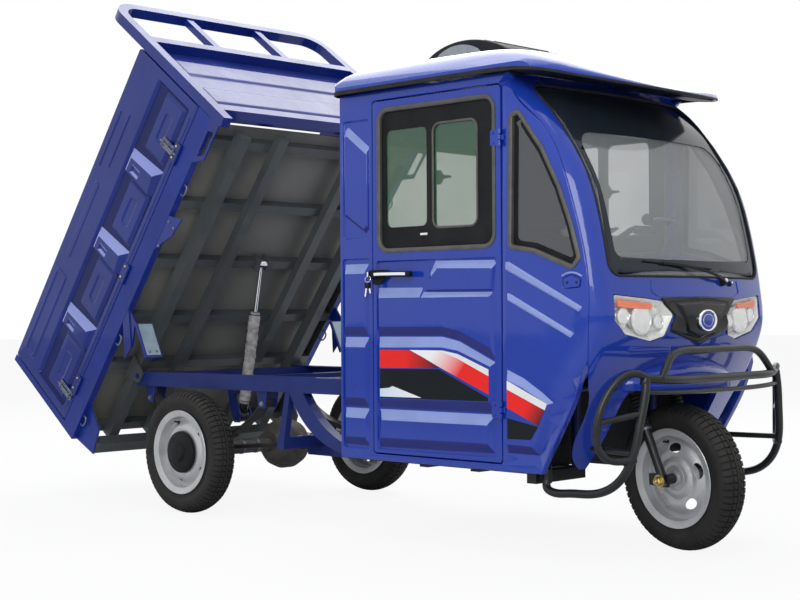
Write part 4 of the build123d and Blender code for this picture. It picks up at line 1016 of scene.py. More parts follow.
add_turned(handle, mm(14, 4, 16.5, 6, 16.5, 21, 14.5, 24.5, 13.5, 23, 0.1, 23), (1.1, out, z + 0.001), (0, -1, 0), 24)
add_plate(handle, box_corners(1.0965, 1.1035, z - 0.008, z + 0.01), 0.021, 0.0405, on_side, 0.001, 1)
make_both("door_grip", handle, [plastic, chrome], "cab_door_", ("door_handle_",))
keys = Shape()
ring_middle = Vector((1.097, out - 0.036, z - 0.016))
ring = [ring_middle + Vector((0.004 * sin(a), 0.003 * cos(a), 0.011 * cos(a)))
        + Vector((0.01 * sin(a), 0, 0)) for a in (2 * pi * i / 20 for i in range(20))]
add_tube(keys, ring, 0.001, 6, 0, closed=True)
for lean, length in ((-0.25, 0.04), (0.18, 0.052)):
    swing = Matrix.Translation(ring_middle - Vector((0, 0, 0.01))) @ Matrix.Rotation(lean, 4, "Y")
    bow = mm(-9.5, -4, 9.5, -4, 10.5, -14, 6, -24, -6, -24, -10.5, -14)
    blade = [(-0.0035, -0.022), (0.0035, -0.022), (0.0035, -length), (0.0, -length - 0.005), (-0.0035, -length)]
    shift = 0.003 * (1 if lean > 0 else -1)
    add_plate(keys, bow, shift - 0.0018, shift + 0.0018, lambda u, v, h: swing @ Vector((u, -h, v)), 0.0008, 1, 0.003)
    add_plate(keys, blade, shift - 0.001, shift + 0.001, lambda u, v, h: swing @ Vector((u, -h, v)), 0.0003)
make_both("door_keys", keys, [chrome, plastic], "cab_door_")

# %% [markdown]
# Behind the nose's edge a small pressed seat takes a mirror stalk; it is empty here and closed by
# a plate with two plugs.

# %% Mirror seat
seat_plate = Shape()
add_plate(seat_plate, mm(1973, 905, 2034, 909, 2038, 934, 2003, 945, 1970, 934), -0.0035,
          0.0015, on_side, 0.0015, 0, 0.008)
# The bead over the seat is in the painted highlight film: a painted highlight along its top.
arch = smooth_curve(mm(1966, 945, 1984, 953, 2005, 955.5, 2027, 952, 2045, 942.5), 4)
add_tube(seat_plate, [on_side(p.x, p.y, 0.002) for p in arch], 0.0032, 8, 1)
for x, size in ((1.985, 0.0045), (2.024, 0.004)):
    add_turned(seat_plate, [(size, 0), (size, 0.0028), (size * 0.7, 0.0036), (0.0001, 0.0036)],
               on_side(x, 0.923, 0.001), (0, -1, 0), 14, 2)
make_both("mirror_seat", seat_plate, [blue, painted_sky_highlight, rubber], "vehicle")

# %% [markdown]
# The front is one bowed skin with the screen, lamps and grille let into it.  Places on it are given
# as seen from ahead, across and up, and a ray from the front finds how far forward the skin is.

# %% The front's skin
front_skin = skin_tree("front_shell", "headlamps", "grille", "windows")
ahead_of_nose = 2.6


def on_front(y, z, height):
    """A place on the front skin, height being how far it stands out along the skin's own normal."""
    origin = Vector((ahead_of_nose + datum_x, y, z))
    spot, normal, _, _ = front_skin.ray_cast(origin, Vector((-1, 0, 0)))
    if spot is None or spot.x < datum_x + 1.6:
        spot, normal, _, _ = front_skin.find_nearest(Vector((datum_x + 2.1, y, z)))
    if normal.x < 0:
        normal = -normal
    return (spot.x - datum_x + normal.x * height, spot.y + normal.y * height, spot.z + normal.z * height)


# %% [markdown]
# The screen is glued in.  A black printed border hides the glue: narrow at the sides, deep at the
# foot, and reaching well down at the top as a sun band.  A rubber bead closes the gap to the shell.

# %% Windscreen border and bead
screen_low, screen_middle, screen_high, bead_size = 0.945, 1.2735, 1.602, 1.006
screen_corners = box_corners(-0.4505, 0.4505, screen_low + 0.0015, screen_high - 0.0015)
screen_clear = (mm(-412, 1006, 412, 1006, 414, 1150, 412, 1432, -412, 1432, -414, 1150),
                [0.03, 0.03, 0.0, 0.07, 0.07, 0.0], 5)
border = Shape()
screen_ring, clear_ring = rounded(screen_corners, 0.045, 5), rounded(*screen_clear)
for height in (0.0006, 0.002):
    fill_flat(border, screen_ring, [clear_ring], on_front, height, spacing=0.018)
for edge in ((screen_corners, 0.045, 5), screen_clear):
    add_rings(border, *edge, [(0, 0.0006), (0, 0.002)], on_front)
screen_print = finish("screen_print", (0.013, 0.019, 0.026), (0.017, 0.024, 0.031), (0.1, 0.16), 9.0, coat=0.2,
                      grain=(300.0, 0.0), specular=0.15)
make_piece("screen_border", border, [screen_print], "vehicle")


def divided(points, count):
    """The points with each run between two of them cut into count parts, without the last point."""
    return [Vector(a).lerp(Vector(b), t / count) for a, b in zip(points, points[1:]) for t in range(count)]


bead = Shape()
long_edges = divided(screen_corners + screen_corners[:1], 8)
bead_radii = [0.046 if i % 8 == 0 else 0.0 for i in range(len(long_edges))]
bead_path = rounded(long_edges, bead_radii, 5, -0.0002)
bead_points = [Vector(on_front(p.x * bead_size, screen_middle + (p.y - screen_middle) * bead_size, 0.0008))
               for p in bead_path]
add_tube(bead, bead_points, 0.0042, 8, 0, closed=True)
make_piece("screen_bead", bead, [rubber], "vehicle")

# %% [markdown]
# A lamp unit has three layers: a bright reflector tub with round bowls pressed in it, an amber strip
# for the turn signal along its top, and a clear lens that carries the shape of the nose over all.

# %% Lamp units
lamp_outline = mm(-446, 884, -300, 872, -205, 862, -160, 815, -196, 742, -262, 726, -392, 752, -448, 800)
lamp_rim = rounded(lamp_outline, 0, 0, 0.0015)
reflector = finish("lamp_reflector", (0.8, 0.81, 0.8), (0.88, 0.88, 0.87), (0.1, 0.22), 30.0, metal=0.85,
                   grain=(260.0, 0.04))
lamp_white = finish("lamp_housing", (0.8, 0.8, 0.76), (0.86, 0.86, 0.82), (0.22, 0.34), 20.0, metal=0.1,
                    grain=(300.0, 0.03))
lamp_lens = window_glass("lamp_cover", (0.8, 0.82, 0.82), 0.07)


def lamp_bowl(shape, y, z, radius, deep, skin_height):
    """A round bowl with a bulb and its hood, let into the tub behind the skin."""
    middle = Vector(on_front(y, z, skin_height))
    profile = [(radius * 1.06, 0.004), (radius, 0.006)]
    profile += [(radius * cos(a), 0.004 - deep * sin(a)) for a in (0.25, 0.5, 0.8, 1.1, 1.35)]
    add_turned(shape, profile + [(0.0001, -deep)], middle, (1, 0, 0), 28)
    add_turned(shape, [(0.008, -deep), (0.0085, -deep * 0.45), (0.006, -deep * 0.25), (0.0001, -deep * 0.2)], middle,
               (1, 0, 0), 14, 2)
    add_turned(shape, [(radius * 1.18, -0.002), (radius * 1.18, 0.004), (radius * 1.04, 0.0065),
                       (radius * 1.04, -0.002)], middle, (1, 0, 0), 28, 1)


tub = Shape()
levels = mm(0, -4, 4, -6, 10, -16, 20, -28)
add_rings(tub, lamp_rim, 0.012, 3, levels, on_front, 1)
floor_ring = rounded(lamp_rim, 0.012, 3, 0.02)
fill_flat(tub, floor_ring, [], on_front, -0.028, 0, 0.02)
for y, z, radius, deep in ((-0.305, 0.802, 0.046, 0.022), (-0.392, 0.812, 0.024, 0.014), (-0.221, 0.79, 0.02, 0.012)):
    lamp_bowl(tub, y, z, radius, deep, -0.018)
for step in range(7):
    y = -0.262 + step * 0.009
    add_tube(tub, [on_front(y, 0.752 + 0.003 * step, -0.024), on_front(y + 0.004, 0.842, -0.022)], 0.0022, 6)
add_rings(tub, lamp_rim, 0.012, 3, mm(0, -4, 0, -50, 12, -54), on_front, 2)
fill_flat(tub, rounded(lamp_rim, 0.012, 3, 0.012), [], on_front, -0.054, 2)
make_both("lamp_tub", tub, [reflector, lamp_white, plastic], "vehicle", ("headlamps",))
amber = Shape()
strip_outline = mm(-428, 867, -262, 853, -269, 835, -360, 838, -418, 843)
add_plate(amber, strip_outline, -0.014, -0.0045, on_front, 0.002, 0, 0.006)
make_both("turn_strip", amber, [amber_lens], "vehicle")
lens = Shape()
add_panel(lens, (lamp_rim, 0.012, 3), [], [], 0.0028, on_front, roll=0.0012, spacing=0.03)
make_both("lamp_cover", lens, [lamp_lens], "vehicle")

# %% [markdown]
# The grille is a black moulding shaped like a broad V.  Facets are pressed in it and a plain round
# badge, blue in a bright ring, sits at its middle.

# %% Grille and badge
def whole(half):
    """An outline from its one half, whose first and last points are on the middle."""
    return half + [(-y, z) for y, z in reversed(half[1:-1])]


grille_seat = whole(mm(0, 706, 60, 728, 188, 745, 150, 812, 196, 858, 0, 868))
gloss_black = finish("gloss_black", (0.006, 0.006, 0.007), (0.009, 0.009, 0.01), (0.2, 0.28), 14.0, coat=0.15,
                     grain=(900.0, 0.01), specular=0.2)
seat_plate = Shape()
add_plate(seat_plate, grille_seat, -0.012, 0.0, on_front, 0.0015, 0, 0.004, 2)
make_piece("grille_seat", seat_plate, [blue], "vehicle")
grille = Shape()
grille_rim = whole(mm(0, 717, 176, 762, 172, 790, 158, 812, 202, 846, 228, 872, 0, 878))
facet = relief(whole(mm(0, 733, 86, 757, 110, 800, 160, 856, 0, 862)), 0.008, 0.012, 0.002, 1)
add_panel(grille, (grille_rim, 0.003, 2), [], [facet], 0.012, raised(on_front, 0.006), roll=0.004, spacing=0.02)
make_piece("grille_panel", grille, [gloss_black], "vehicle", ("grille",))

badge = Shape()
badge_middle = Vector(on_front(0.012, 0.797, 0.014))
for profile, number in ((mm(38.5, 0, 38.5, 5, 36.5, 8.5, 32.5, 8.5, 30.5, 5.5, 30.5, 0), 0),
                        (mm(31, 1, 30, 5.2, 20, 6.8, 0.1, 7.4), 1), (mm(21.5, 6, 21.2, 7.6, 20.2, 7.8, 19.9, 6.4), 0)):
    add_turned(badge, profile, (0, 0, 0), (1, 0, 0), 40, number)
widened = Matrix.Translation(badge_middle) @ Matrix.Diagonal((1, 1.45, 1, 1))
badge.points = [widened @ point for point in badge.points]
make_piece("nose_badge", badge, [chrome, blue], "vehicle")

# %% [markdown]
# Above the lamps the nose has a lid-like raised field, and under each lamp a shallow pad.  They are
# beads and thin pressings on the shell, so they sit just proud of the frame's own skin.

# %% Nose pressings
nose_parts = Shape()
lid = mm(-262, 932, -268, 892, -235, 878, 235, 878, 268, 892, 262, 932)
add_tube(nose_parts, [on_front(y, z, 0.0002) for y, z in divided(lid, 6) + lid[-1:]], 0.003, 8)
for sign in (-1, 1):
    pad = [(sign * 0.372, 0.712), (sign * 0.15, 0.712), (sign * 0.138, 0.682), (sign * 0.35, 0.68)]
    add_rings(nose_parts, pad, 0.012, 3, mm(0, -1, 4, 2, 10, 3.5), on_front)
    fill_flat(nose_parts, rounded(pad, 0.012, 3, 0.01), [], on_front, 0.0035, 0, 0.03)
    fill_flat(nose_parts, rounded(pad, 0.012), [], on_front, -0.001, 0, 0.05)
make_piece("nose_pressings", nose_parts, [blue], "vehicle")

# %% [markdown]
# The wiper is parked along the screen's foot: a boss with a chrome nut, an arm and a thin blade, with
# the washer nozzle beside it.

# %% Wiper
wiper = Shape()
boss = Vector(on_front(0.15, 0.928, 0.0))
add_turned(wiper, mm(15, -2, 15, 8, 12, 13, 9, 20, 0.1, 20), boss, (0.93, 0, 0.36), 20)
add_bolt(wiper, boss + Vector((0.019, 0, 0.007)), (0.93, 0, 0.36), 0.006, 1)
arm_points = [boss + Vector((0.012, 0, 0.005)), Vector(on_front(0.12, 0.936, 0.024)),
              Vector(on_front(-0.06, 0.975, 0.02)), Vector(on_front(-0.2, 0.987, 0.014))]
add_tube(wiper, smooth_curve(arm_points, 6), 1.0, section=rounded_bar(0.01, 0.0045), up=(1, 0, 0.2))
blade = [Vector(on_front(0.085 - 0.047 * t, 0.972 + 0.0026 * t, 0.0062)) for t in range(9)]
add_tube(wiper, blade, 1.0, section=rounded_bar(0.0045, 0.009), up=(1, 0, 0.2))
nozzle = Vector(on_front(0.205, 0.921, 0.0))
add_turned(wiper, mm(9, -1, 9, 5, 6, 11, 0.1, 12), nozzle, (0.8, 0, 0.6), 16)
add_turned(wiper, mm(3.5, 8, 3.5, 17, 0.1, 18), nozzle, (0.9, -0.2, 0.4), 12, 1)
make_piece("screen_wiper", wiper, [plastic, chrome], "vehicle")

# %% [markdown]
# The roof is one glossy moulding with a soft crown, a steep roll at its sides and a visor that thins
# to a lip over the screen.  A grid from side to side follows it: two profiles, one along and one
# across, meet in a soft minimum, so no crease shows in the gloss.

# %% The roof moulding
roof_half, roof_rear, visor_corner, visor_tip = 0.56, 0.889, 1.862, 2.072
bow_radius = (roof_half ** 2 + (visor_tip - visor_corner) ** 2) / (2 * (visor_tip - visor_corner))
bow_centre = visor_tip - bow_radius
roof_base, visor_start, rear_corner = 1.64, 1.776, 0.06
crown_along = smooth_curve(mm(889, 28, 925, 92, 1040, 138, 1240, 156, 1440, 146, 1600, 124, 1740, 90, 1900, 34, 2072,
                              -44), 12)
crown_across = smooth_curve(mm(0, 156, 200, 147, 400, 115, 508, 78, 560, 26), 12)


def under_roof(x):
    """Height of the roof's lower edge: level over the cab, then falling to the visor's tip."""
    if x < 1.9:
        return roof_base - max(0.0, x - visor_start) * 0.113
    return 1.626 - (x - 1.9) * 0.235


def height_on(curve, at):
    """The height of a drawn profile at a distance along it."""
    for a, b in zip(curve, curve[1:]):
        if at <= b[0]:
            return a[1] + (b[1] - a[1]) * (at - a[0]) / (b[0] - a[0])
    return curve[-1][1]


def soft_lower(a, b, softness):
    """The lower of two heights, rounded off where they cross."""
    share = max(softness - abs(a - b), 0) / softness
    return min(a, b) - share * share * softness / 4


def bow_front(y):
    """Where the visor's bowed front edge is, at a distance from the middle."""
    return bow_centre + (bow_radius ** 2 - y * y) ** 0.5


def roof_rear_at(y):
    """Where the roof's rear edge is, with its rounded corners."""
    return roof_rear + rear_corner - (rear_corner ** 2 - max(abs(y) - roof_half + rear_corner, 0) ** 2) ** 0.5


def roof_top(x, y):
    """Height of the roof's outer skin."""
    crown = soft_lower(roof_base + height_on(crown_across, abs(y)), roof_base + height_on(crown_along, x), 0.05)
    lip = under_roof(x) + 0.012 + 0.341 * max(bow_front(y) - x, 0) ** 0.72 + max(0.0, 1.7 - x) * 3
    return soft_lower(crown, lip, 0.03)


moulding = Shape()
across_count, along_count = 72, 90
top_points, under_points = [], []
for j in range(across_count + 1):
    y = roof_half * sin(pi / 2 * (2 * j / across_count - 1))
    rear, front_edge = roof_rear_at(y), bow_front(y)
    for i in range(along_count + 1):
        x = rear + (front_edge - rear) * (1 - cos(pi * i / along_count)) / 2
        rim = i in (0, along_count) or j in (0, across_count)
        high = roof_top(x, y)
        low = under_roof(x) if rim or x > visor_start else max(under_roof(x), high - 0.012)
        top_points.append((x, y, high))
        under_points.append((x, y, low))
row = along_count + 1
skin = [(a, a + 1, a + row + 1, a + row) for j in range(across_count) for a in range(j * row, j * row + along_count)]
rim_loop = ([i for i in range(row)] + [j * row + along_count for j in range(1, across_count + 1)]
            + [across_count * row + i for i in range(along_count - 1, -1, -1)]
            + [j * row for j in range(across_count - 1, 0, -1)])
under_start = len(top_points)
rim_faces = [(a, b, b + under_start, a + under_start) for a, b in zip(rim_loop, rim_loop[1:] + rim_loop[:1])]
moulding.add(top_points + under_points,
             skin + [tuple(under_start + i for i in reversed(face)) for face in skin] + rim_faces)
make_piece("roof_moulding", moulding, [roof_blue], "vehicle", ("roof",))

# %% [markdown]
# A black rubber strip is pushed over the moulding's raw lower edge all the way round.  It is
# thinner along the visor; over the cab sides it is made tall enough to fill the dark gap under the
# roof's edge as well, so part of its black is painted shadow.  Under the visor a near-black sheet is
# painted shade on the visor's underside.

# %% Roof edge strip and the visor's painted shade
bow = [(bow_front(roof_half * sin(pi / 2 * t / 20)), roof_half * sin(pi / 2 * t / 20)) for t in range(-20, 21)]
rear_half = [(roof_rear_at(y), y) for y in (roof_half * sin(pi / 2 * t / 20) for t in range(20, -21, -1))]
side_run = [(0.949 + (visor_corner - 0.949) * t / 14, -roof_half) for t in range(1, 14)]
roof_line = bow + [(x, -y) for x, y in reversed(side_run)] + rear_half + side_run
strip = Shape()
# Over the cab sides the strip is a real black edge and is made tall enough to fill the dark gap under the roof's edge
# too, so part of its black is painted shadow.
thickness = [1.0 - 0.5 * min(max((x - 1.7) / 0.25, 0), 1) for x, _ in roof_line]
add_tube(strip, [(x, y, under_roof(x) + 0.0072 * size) for (x, y), size in zip(roof_line, thickness)], thickness,
         section=rounded_bar(0.0055, 0.0165), up=(0, 0, 1), closed=True)
make_piece("roof_edge_strip", strip, [rubber], "vehicle")

# Painted shade: a near-black blue sheet hung under the visor.
visor_shade_paint = finish("visor_shade_sheet", (0.009, 0.011, 0.024), (0.013, 0.015, 0.03), (0.34, 0.46), 8.0,
                    grain=(500.0, 0.05), specular=0.15)
visor_shade = Shape()
visor_shade_edge = [(1.778, -0.552), (1.855, -0.552)] + [(x - 0.008, y * 0.985) for x, y in bow[2:-2]]
visor_shade_edge += [(1.855, 0.552), (1.778, 0.552)]


def under_visor(x, y, height):
    """A place under the visor, height being how far it hangs below."""
    return (x, y, under_roof(x) - height)


for height in (0.0004, 0.0022):
    fill_flat(visor_shade, visor_shade_edge, [], under_visor, height, spacing=0.06)
add_rings(visor_shade, visor_shade_edge, 0, 0, [(0, 0.0004), (0, 0.0022)], under_visor)
for y in (-0.3, 0.0, 0.3):
    add_tube(visor_shade, [under_visor(1.8, y, 0.002), under_visor(1.899, y, 0.002), under_visor(2.02, y * 0.98, 0.002)],
             0.0035, 8)
make_piece("visor_shade_sheet", visor_shade, [visor_shade_paint], "vehicle")

# %% [markdown]
# The roof vent is a low arch with a dark rubber rim and a smoked cover let into each side.

# %% Roof vent
vent = Shape()


def vent_height(t):
    """The vent's low hump, t from 0 at its rear foot to 1 at its front foot."""
    return 0.078 * sin(pi * t ** 0.9) ** 0.62


vent_arch = [(1.04, 1.766)] + [(1.044 + 0.432 * t / 20, 1.7745 + vent_height(t / 20)) for t in range(21)]
vent_arch += [(1.48, 1.766)]
add_plate(vent, vent_arch, -0.199, 0.199, lambda x, z, y: (x, y, z), 0.007, 0, 0.004, 2)
arch_face = [(1.085, 1.786)] + [(1.1 + 0.245 * t / 10, 1.788 + 0.049 * sin(pi * t / 10) ** 0.6) for t in range(11)]
arch_face += [(1.36, 1.786)]
smoked = finish("smoked_cover", (0.24, 0.27, 0.28), (0.34, 0.37, 0.38), (0.1, 0.18), 10.0, coat=0.6,
                grain=(300.0, 0.02))
for sign in (-1, 1):
    add_plate(vent, arch_face, 0.176, 0.1998, lambda x, z, y: (x, y * sign, z), 0.0012, 1)
for rib in range(6):
    t = 0.2 + rib * 0.11
    add_tube(vent, [(1.044 + 0.432 * t, y, 1.7748 + vent_height(t)) for y in (-0.16, 0.0, 0.16)], 0.0035, 8)
make_piece("roof_vent", vent, [rubber, smoked], "vehicle", ("roof_hatch",))

# %% [markdown]
# The front guard is bent from black tube.  A main bar crosses in front of the nose with a hoop above
# and a thinner bar below.  Each side has an upright that sweeps back under the cab, and a round side
# loop with a rung.  Ends are fish-mouthed and welded, so each joint gets a small bead.

# %% Front guard
guard = Shape()


def both(points):
    """A path and its mirror image on the other side."""
    return points, [(x, -y, z) for x, y, z in points]


def across_bar(half):
    """A smooth bar from side to side, from the points of its right half; the last is on the middle."""
    return smooth_curve(half + [(x, -y, z) for x, y, z in reversed(half[:-1])])


add_tube(guard, across_bar(mm(2198, -412, 611, 2214, -372, 609, 2230, -315, 605, 2234.5, -200, 603, 2235.5, 0, 602,
                              size=3)), 0.0142, 16)
add_tube(guard, across_bar(mm(2226, -345, 608, 2222, -312, 645, 2216, -268, 682, 2214, -215, 696, 2214, -120, 697.5,
                              2214, 0, 698, size=3)), 0.0128, 16)
add_tube(guard, across_bar(mm(2206, -408, 568, 2218, -360, 566, 2228, -250, 562, 2231, 0, 560, size=3)), 0.0085, 12)
upright = mm(2206, -404, 612, 2208, -412, 560, 2201, -431, 470, 2192, -447, 385, 2172, -457, 325, 2140, -462, 280,
             2096, -465, 249, 2030, -466, 231, 1940, -466, 226.5, 1866, -465, 226.5, 1842, -461, 240, 1838, -453, 270,
             1838, -452, 300, size=3)
loop = mm(2206, -398, 612, 2192, -432, 627, 2170, -467, 621, 2150, -499, 592, 2133, -528, 545, 2121, -549, 480, 2118,
          -553, 428, 2122, -546, 385, 2136, -520, 355, 2156, -490, 347, 2184, -452, 352, size=3)
for path in both(smooth_curve(upright, 5)):
    add_tube(guard, path, 0.0142)
for path in both(smooth_curve(loop, 5)):
    add_tube(guard, path, 0.0125)
for path in both([(2.2035, -0.424, 0.5), (2.118, -0.551, 0.47)]):
    add_tube(guard, path, 0.01, 12)
for path in both([(2.188, -0.446, 0.372), (1.99, -0.404, 0.372)]):
    add_tube(guard, path, 0.01, 12)
for sign in (-1, 1):
    for at, along, size in (((2.2035, -0.424, 0.5), (0.085, -0.127, -0.03), 0.0125),
                            ((2.186, -0.449, 0.353), (-0.03, -0.04, 0.0), 0.0148),
                            ((2.204, -0.405, 0.598), (0.0, 0.0, 1.0), 0.0168)):
        at = Vector((at[0], at[1] * -sign, at[2]))
        along = Vector((along[0], along[1] * -sign, along[2])).normalized()
        add_tube(guard, [at - along * 0.009, at, at + along * 0.009], [size * 0.92, size * 1.08, size * 0.92], 12)
    add_plate(guard, mm(1822, 252, 1856, 252, 1856, 318, 1822, 318), -0.004, 0.004,
              lambda x, z, h: (x, sign * (0.452 + h), z), 0.001, 0, 0.006)
    add_bolt(guard, (1.839, sign * 0.4562, 0.308), (0, sign, 0), 0.006, 1)
make_piece("front_guard", guard, [black_steel, zinc], "vehicle", ("front_bumper",))

# %% [markdown]
# All three wheels are the same size.  A tyre is one closed skin.  Its section runs from bead to bead
# over a rounded sidewall, and the tread is cut into that skin: square blocks along each shoulder,
# smaller blocks inside them, and a plain rib down the middle.  The casting's fine rings are kept.

# %% Tyre
tread_blocks = 66
side_section = smooth_curve(mm(150.3, 37.2, 160, 43.2, 177, 45, 209, 53.8, 230, 51.2), 7)
side_rings = {9: 0.0011, 10: 0.0011, 20: 0.0009, 24: 0.0008}
side_section = [(p.x, p.y + side_rings.get(i, 0.0)) for i, p in enumerate(side_section)]
tread_columns = [(0.0494, "shoulder"), (0.0478, "shoulder"), (0.044, "shoulder"), (0.035, "shoulder"),
                 (0.0263, "shoulder"), (0.0257, "groove"), (0.0223, "groove"), (0.0217, "block"), (0.015, "block"),
                 (0.0083, "block"), (0.0077, "groove"), (0.0047, "groove"), (0.0041, "rib"), (0.0, "rib")]
tread_depth = 0.0065


def tread_radius(y):
    """The crown of the tread: nearly flat in the middle, rounded off at the shoulders."""
    y = abs(y)
    return tyre_radius - 0.0125 * (y / 0.044) ** 2 - (0.0 if y < 0.044 else (y - 0.044) * 0.9)


def add_tyre(shape):
    """A tyre about the Y axis at the origin."""
    columns = [(-y, kind) for y, kind in tread_columns] + tread_columns[-2::-1]
    left = [(r, -y) for r, y in side_section]
    right = [(r, y) for r, y in reversed(side_section)]
    points, rings = [], 0
    for block in range(tread_blocks):
        for t, low in ((0.0, False), (0.04, True), (0.25, True), (0.29, False), (0.65, False)):
            spin = 2 * pi * (block + t) / tread_blocks
            wave = 0.0016 * sin(2 * pi * t)
            ring = list(left)
            for y, kind in columns:
                radius = tread_radius(y)
                if kind == "groove" or (low and kind in ("shoulder", "block")):
                    radius -= tread_depth
                shift = wave if kind in ("groove", "block") and abs(y) < 0.0225 else 0.0
                ring.append((radius, y * (0.985 if low and abs(y) > 0.046 else 1.0) + shift))
            ring += right
            points += [(r * cos(spin), y, r * sin(spin)) for r, y in ring]
            rings += 1
    shape.add(points, loop_faces(rings, len(points) // rings, loop=True))


# %% [markdown]
# A rim is two pressings.  The barrel has a rolled lip and a well, so the tyre can be levered on.  The
# disc is dished for stiffness and pierced with ovals that save weight.  At the rear a black cap
# covers the hub.

# %% Rims
barrel_half = mm(150, -30, 150, -40.5, 152, -43.5, 160, -46, 169.5, -49, 172.8, -50.2, 173.5, -51.8, 172.2, -53, 168,
                 -52, 156, -49, 148, -46.2, 146, -43, 146, -22)
barrel_section = barrel_half + [(0.14, -0.012), (0.14, 0.014)]
barrel_section += [(radius, -y) for radius, y in reversed(barrel_half)]
disc_shape = smooth_curve(mm(20, 38, 50, 38, 65.5, 36.5, 69.5, 31.5, 90, 33.5, 112, 29, 132, 17, 146.2, 18), 6)


def disc_height(radius):
    """How far the disc stands out at a radius."""
    for a, b in zip(disc_shape, disc_shape[1:]):
        if radius <= b.x:
            return a.y + (b.y - a.y) * max(0.0, (radius - a.x) / (b.x - a.x))
    return disc_shape[-1].y


def on_disc(u, v, height):
    """A place on the disc, which faces -Y."""
    return (u, -disc_height(hypot(u, v)) - height, v)


def add_rim(shape, holes, hole_circle, hole_radii, spin):
    """Barrel and disc; the holes are ovals given by their radial and tangential radii."""
    add_strip(shape, (circle(0.15), 0, 0), [(0.15 - r, y) for r, y in barrel_section], lambda u, v, h: (u, h, v))
    openings = [(circle(0.03, 32), 0, 0)]
    for number in range(holes):
        turn_by = radians(spin + 360 / holes * number)
        oval = [Matrix.Rotation(turn_by, 2) @ Vector((hole_circle + hole_radii[0] * cos(a), hole_radii[1] * sin(a)))
                for a in (2 * pi * i / 24 for i in range(24))]
        openings.append((oval, 0, 0))
    add_panel(shape, (circle(0.1462), 0, 0), openings, [], 0.0035, on_disc, roll=0.0028, spacing=0.009)


wheel_places = {
    "front_{}": on_fork @ Matrix.Translation((wheelbase, 0, tyre_radius)),
    "rear_{}_right": on_cab @ Matrix.Translation((0, -rear_wheel_y, tyre_radius)),
    "rear_{}_left": on_cab @ Matrix.Translation((0, rear_wheel_y, tyre_radius)) @ Matrix.Diagonal((1, -1, 1, 1))}
wheel_grime = finish("wheel_grime", (0.3, 0.31, 0.32), (0.42, 0.43, 0.43), (0.34, 0.5), 14.0, metal=0.4, coat=0.2,
                     grain=(800.0, 0.06), dust=0.3, dust_colour=(0.2, 0.18, 0.15), specular=0.4)
for pattern, wheel_place in wheel_places.items():
    wheel_name = pattern.replace("_{}", "")
    body, tyre_node, rim_node = (pattern.format(part) for part in ("wheel", "tyre", "rim"))
    tyre = Shape()
    add_tyre(tyre)
    make_piece("tyre_" + wheel_name, tyre, [tyre_rubber], body, (tyre_node,), place=wheel_place,
               sharp=30, join=0)
    rim = Shape()
    if wheel_name == "front":
        add_rim(rim, 5, 0.104, (0.0165, 0.027), 18)
        hub = mm(0.1, -42, 40, -42, 44, -38, 44, 20, 43.5, 38.5, 40, 40.5, 27, 41, 24.5, 46.5, 18, 48.5, 0.1, 48.5)
        add_turned(rim, hub, axis=(0, -1, 0), steps=40, finish=1)
    else:
        add_rim(rim, 5, 0.122, (0.0045, 0.009), 40)
        add_turned(rim, mm(0.1, -42, 40, -42, 44, -38, 44, 34, 0.1, 34), axis=(0, -1, 0), steps=40, finish=1)
        cap = mm(0.1, 30, 78, 31, 85.5, 34.5, 86, 38, 86, 45, 84.5, 49.2, 77, 54.8, 60, 58.5, 42, 60.6, 39, 63, 37,
                 66.8, 32, 68.6, 0.1, 69.8)
        add_turned(rim, cap, axis=(0, -1, 0), steps=56, finish=2)
    stem_at = Vector((0.1275 * cos(1.9), -disc_height(0.1275), 0.1275 * sin(1.9)))
    add_turned(rim, mm(6, -2, 5.5, 6, 3.5, 12, 3.5, 26, 0.1, 27), stem_at, (0.05, -1, 0.15), 12, 3)
    make_piece("rim_" + wheel_name, rim, [wheel_silver, wheel_grime, plastic, rubber], body,
               (rim_node,), place=wheel_place)

# %% [markdown]
# The front axle is clamped by zinc-plated nuts and spacers.

# %% Axle nuts
fastenings = Shape()
for sign in (-1, 1):
    add_turned(fastenings, mm(0.1, 0, 16.5, 0, 17.5, 3, 17.5, 21, 16.5, 25.5, 0.1, 25.5),
               (wheelbase, 0.052 * sign, tyre_radius), (0, sign, 0), 24)
    add_turned(fastenings, mm(0.1, 0, 22.5, 0, 23, 2, 23, 4.5, 0.1, 5),
               (wheelbase, sign * 0.1135, tyre_radius), (0, sign, 0), 24)
    add_bolt(fastenings, (wheelbase, sign * 0.118, tyre_radius), (0, sign, 0), 0.0165, 0, 0.02)
make_piece("front_axle_nuts", fastenings, [zinc], "front_fork", place=on_fork)

# %% [markdown]
# The load bed's drop sides are single pressings.  A long channel stiffens each, with flat pads in it
# and three stake pockets that stand right out.  The upper band carries thin ribs.  The sheet is
# folded at its rim, and three rolled hinges along the foot let the side swing down and under.

# %% Drop sides
gate_depth = 0.03
gate_left_x, gate_right_x, gate_low, gate_top = 0.036, 1.664, 0.0605, 0.547
pocket_feet = mm(1192, 1318, 792, 914, 384, 506)
# Painted highlight: the stake pockets' upper and forward slopes, and the sideways slopes of their webs, are painted a
# pale blue where the sky would shine on them.
pocket_highlight_blue = finish("stake_pocket_painted_highlight", (0.2, 0.25, 0.62), (0.26, 0.31, 0.68), (0.22, 0.32), 3.0, coat=1.0,
                  grain=(700.0, 0.02), specular=0.3)
# Painted shade: the sunk channel's floor and its sideways slopes are painted a near-black blue.
channel_shade_blue = finish("channel_painted_shade", (0.003, 0.009, 0.09), (0.004, 0.012, 0.11), (0.34, 0.46), 3.0, coat=0.2,
                    grain=(700.0, 0.02), specular=0.1)


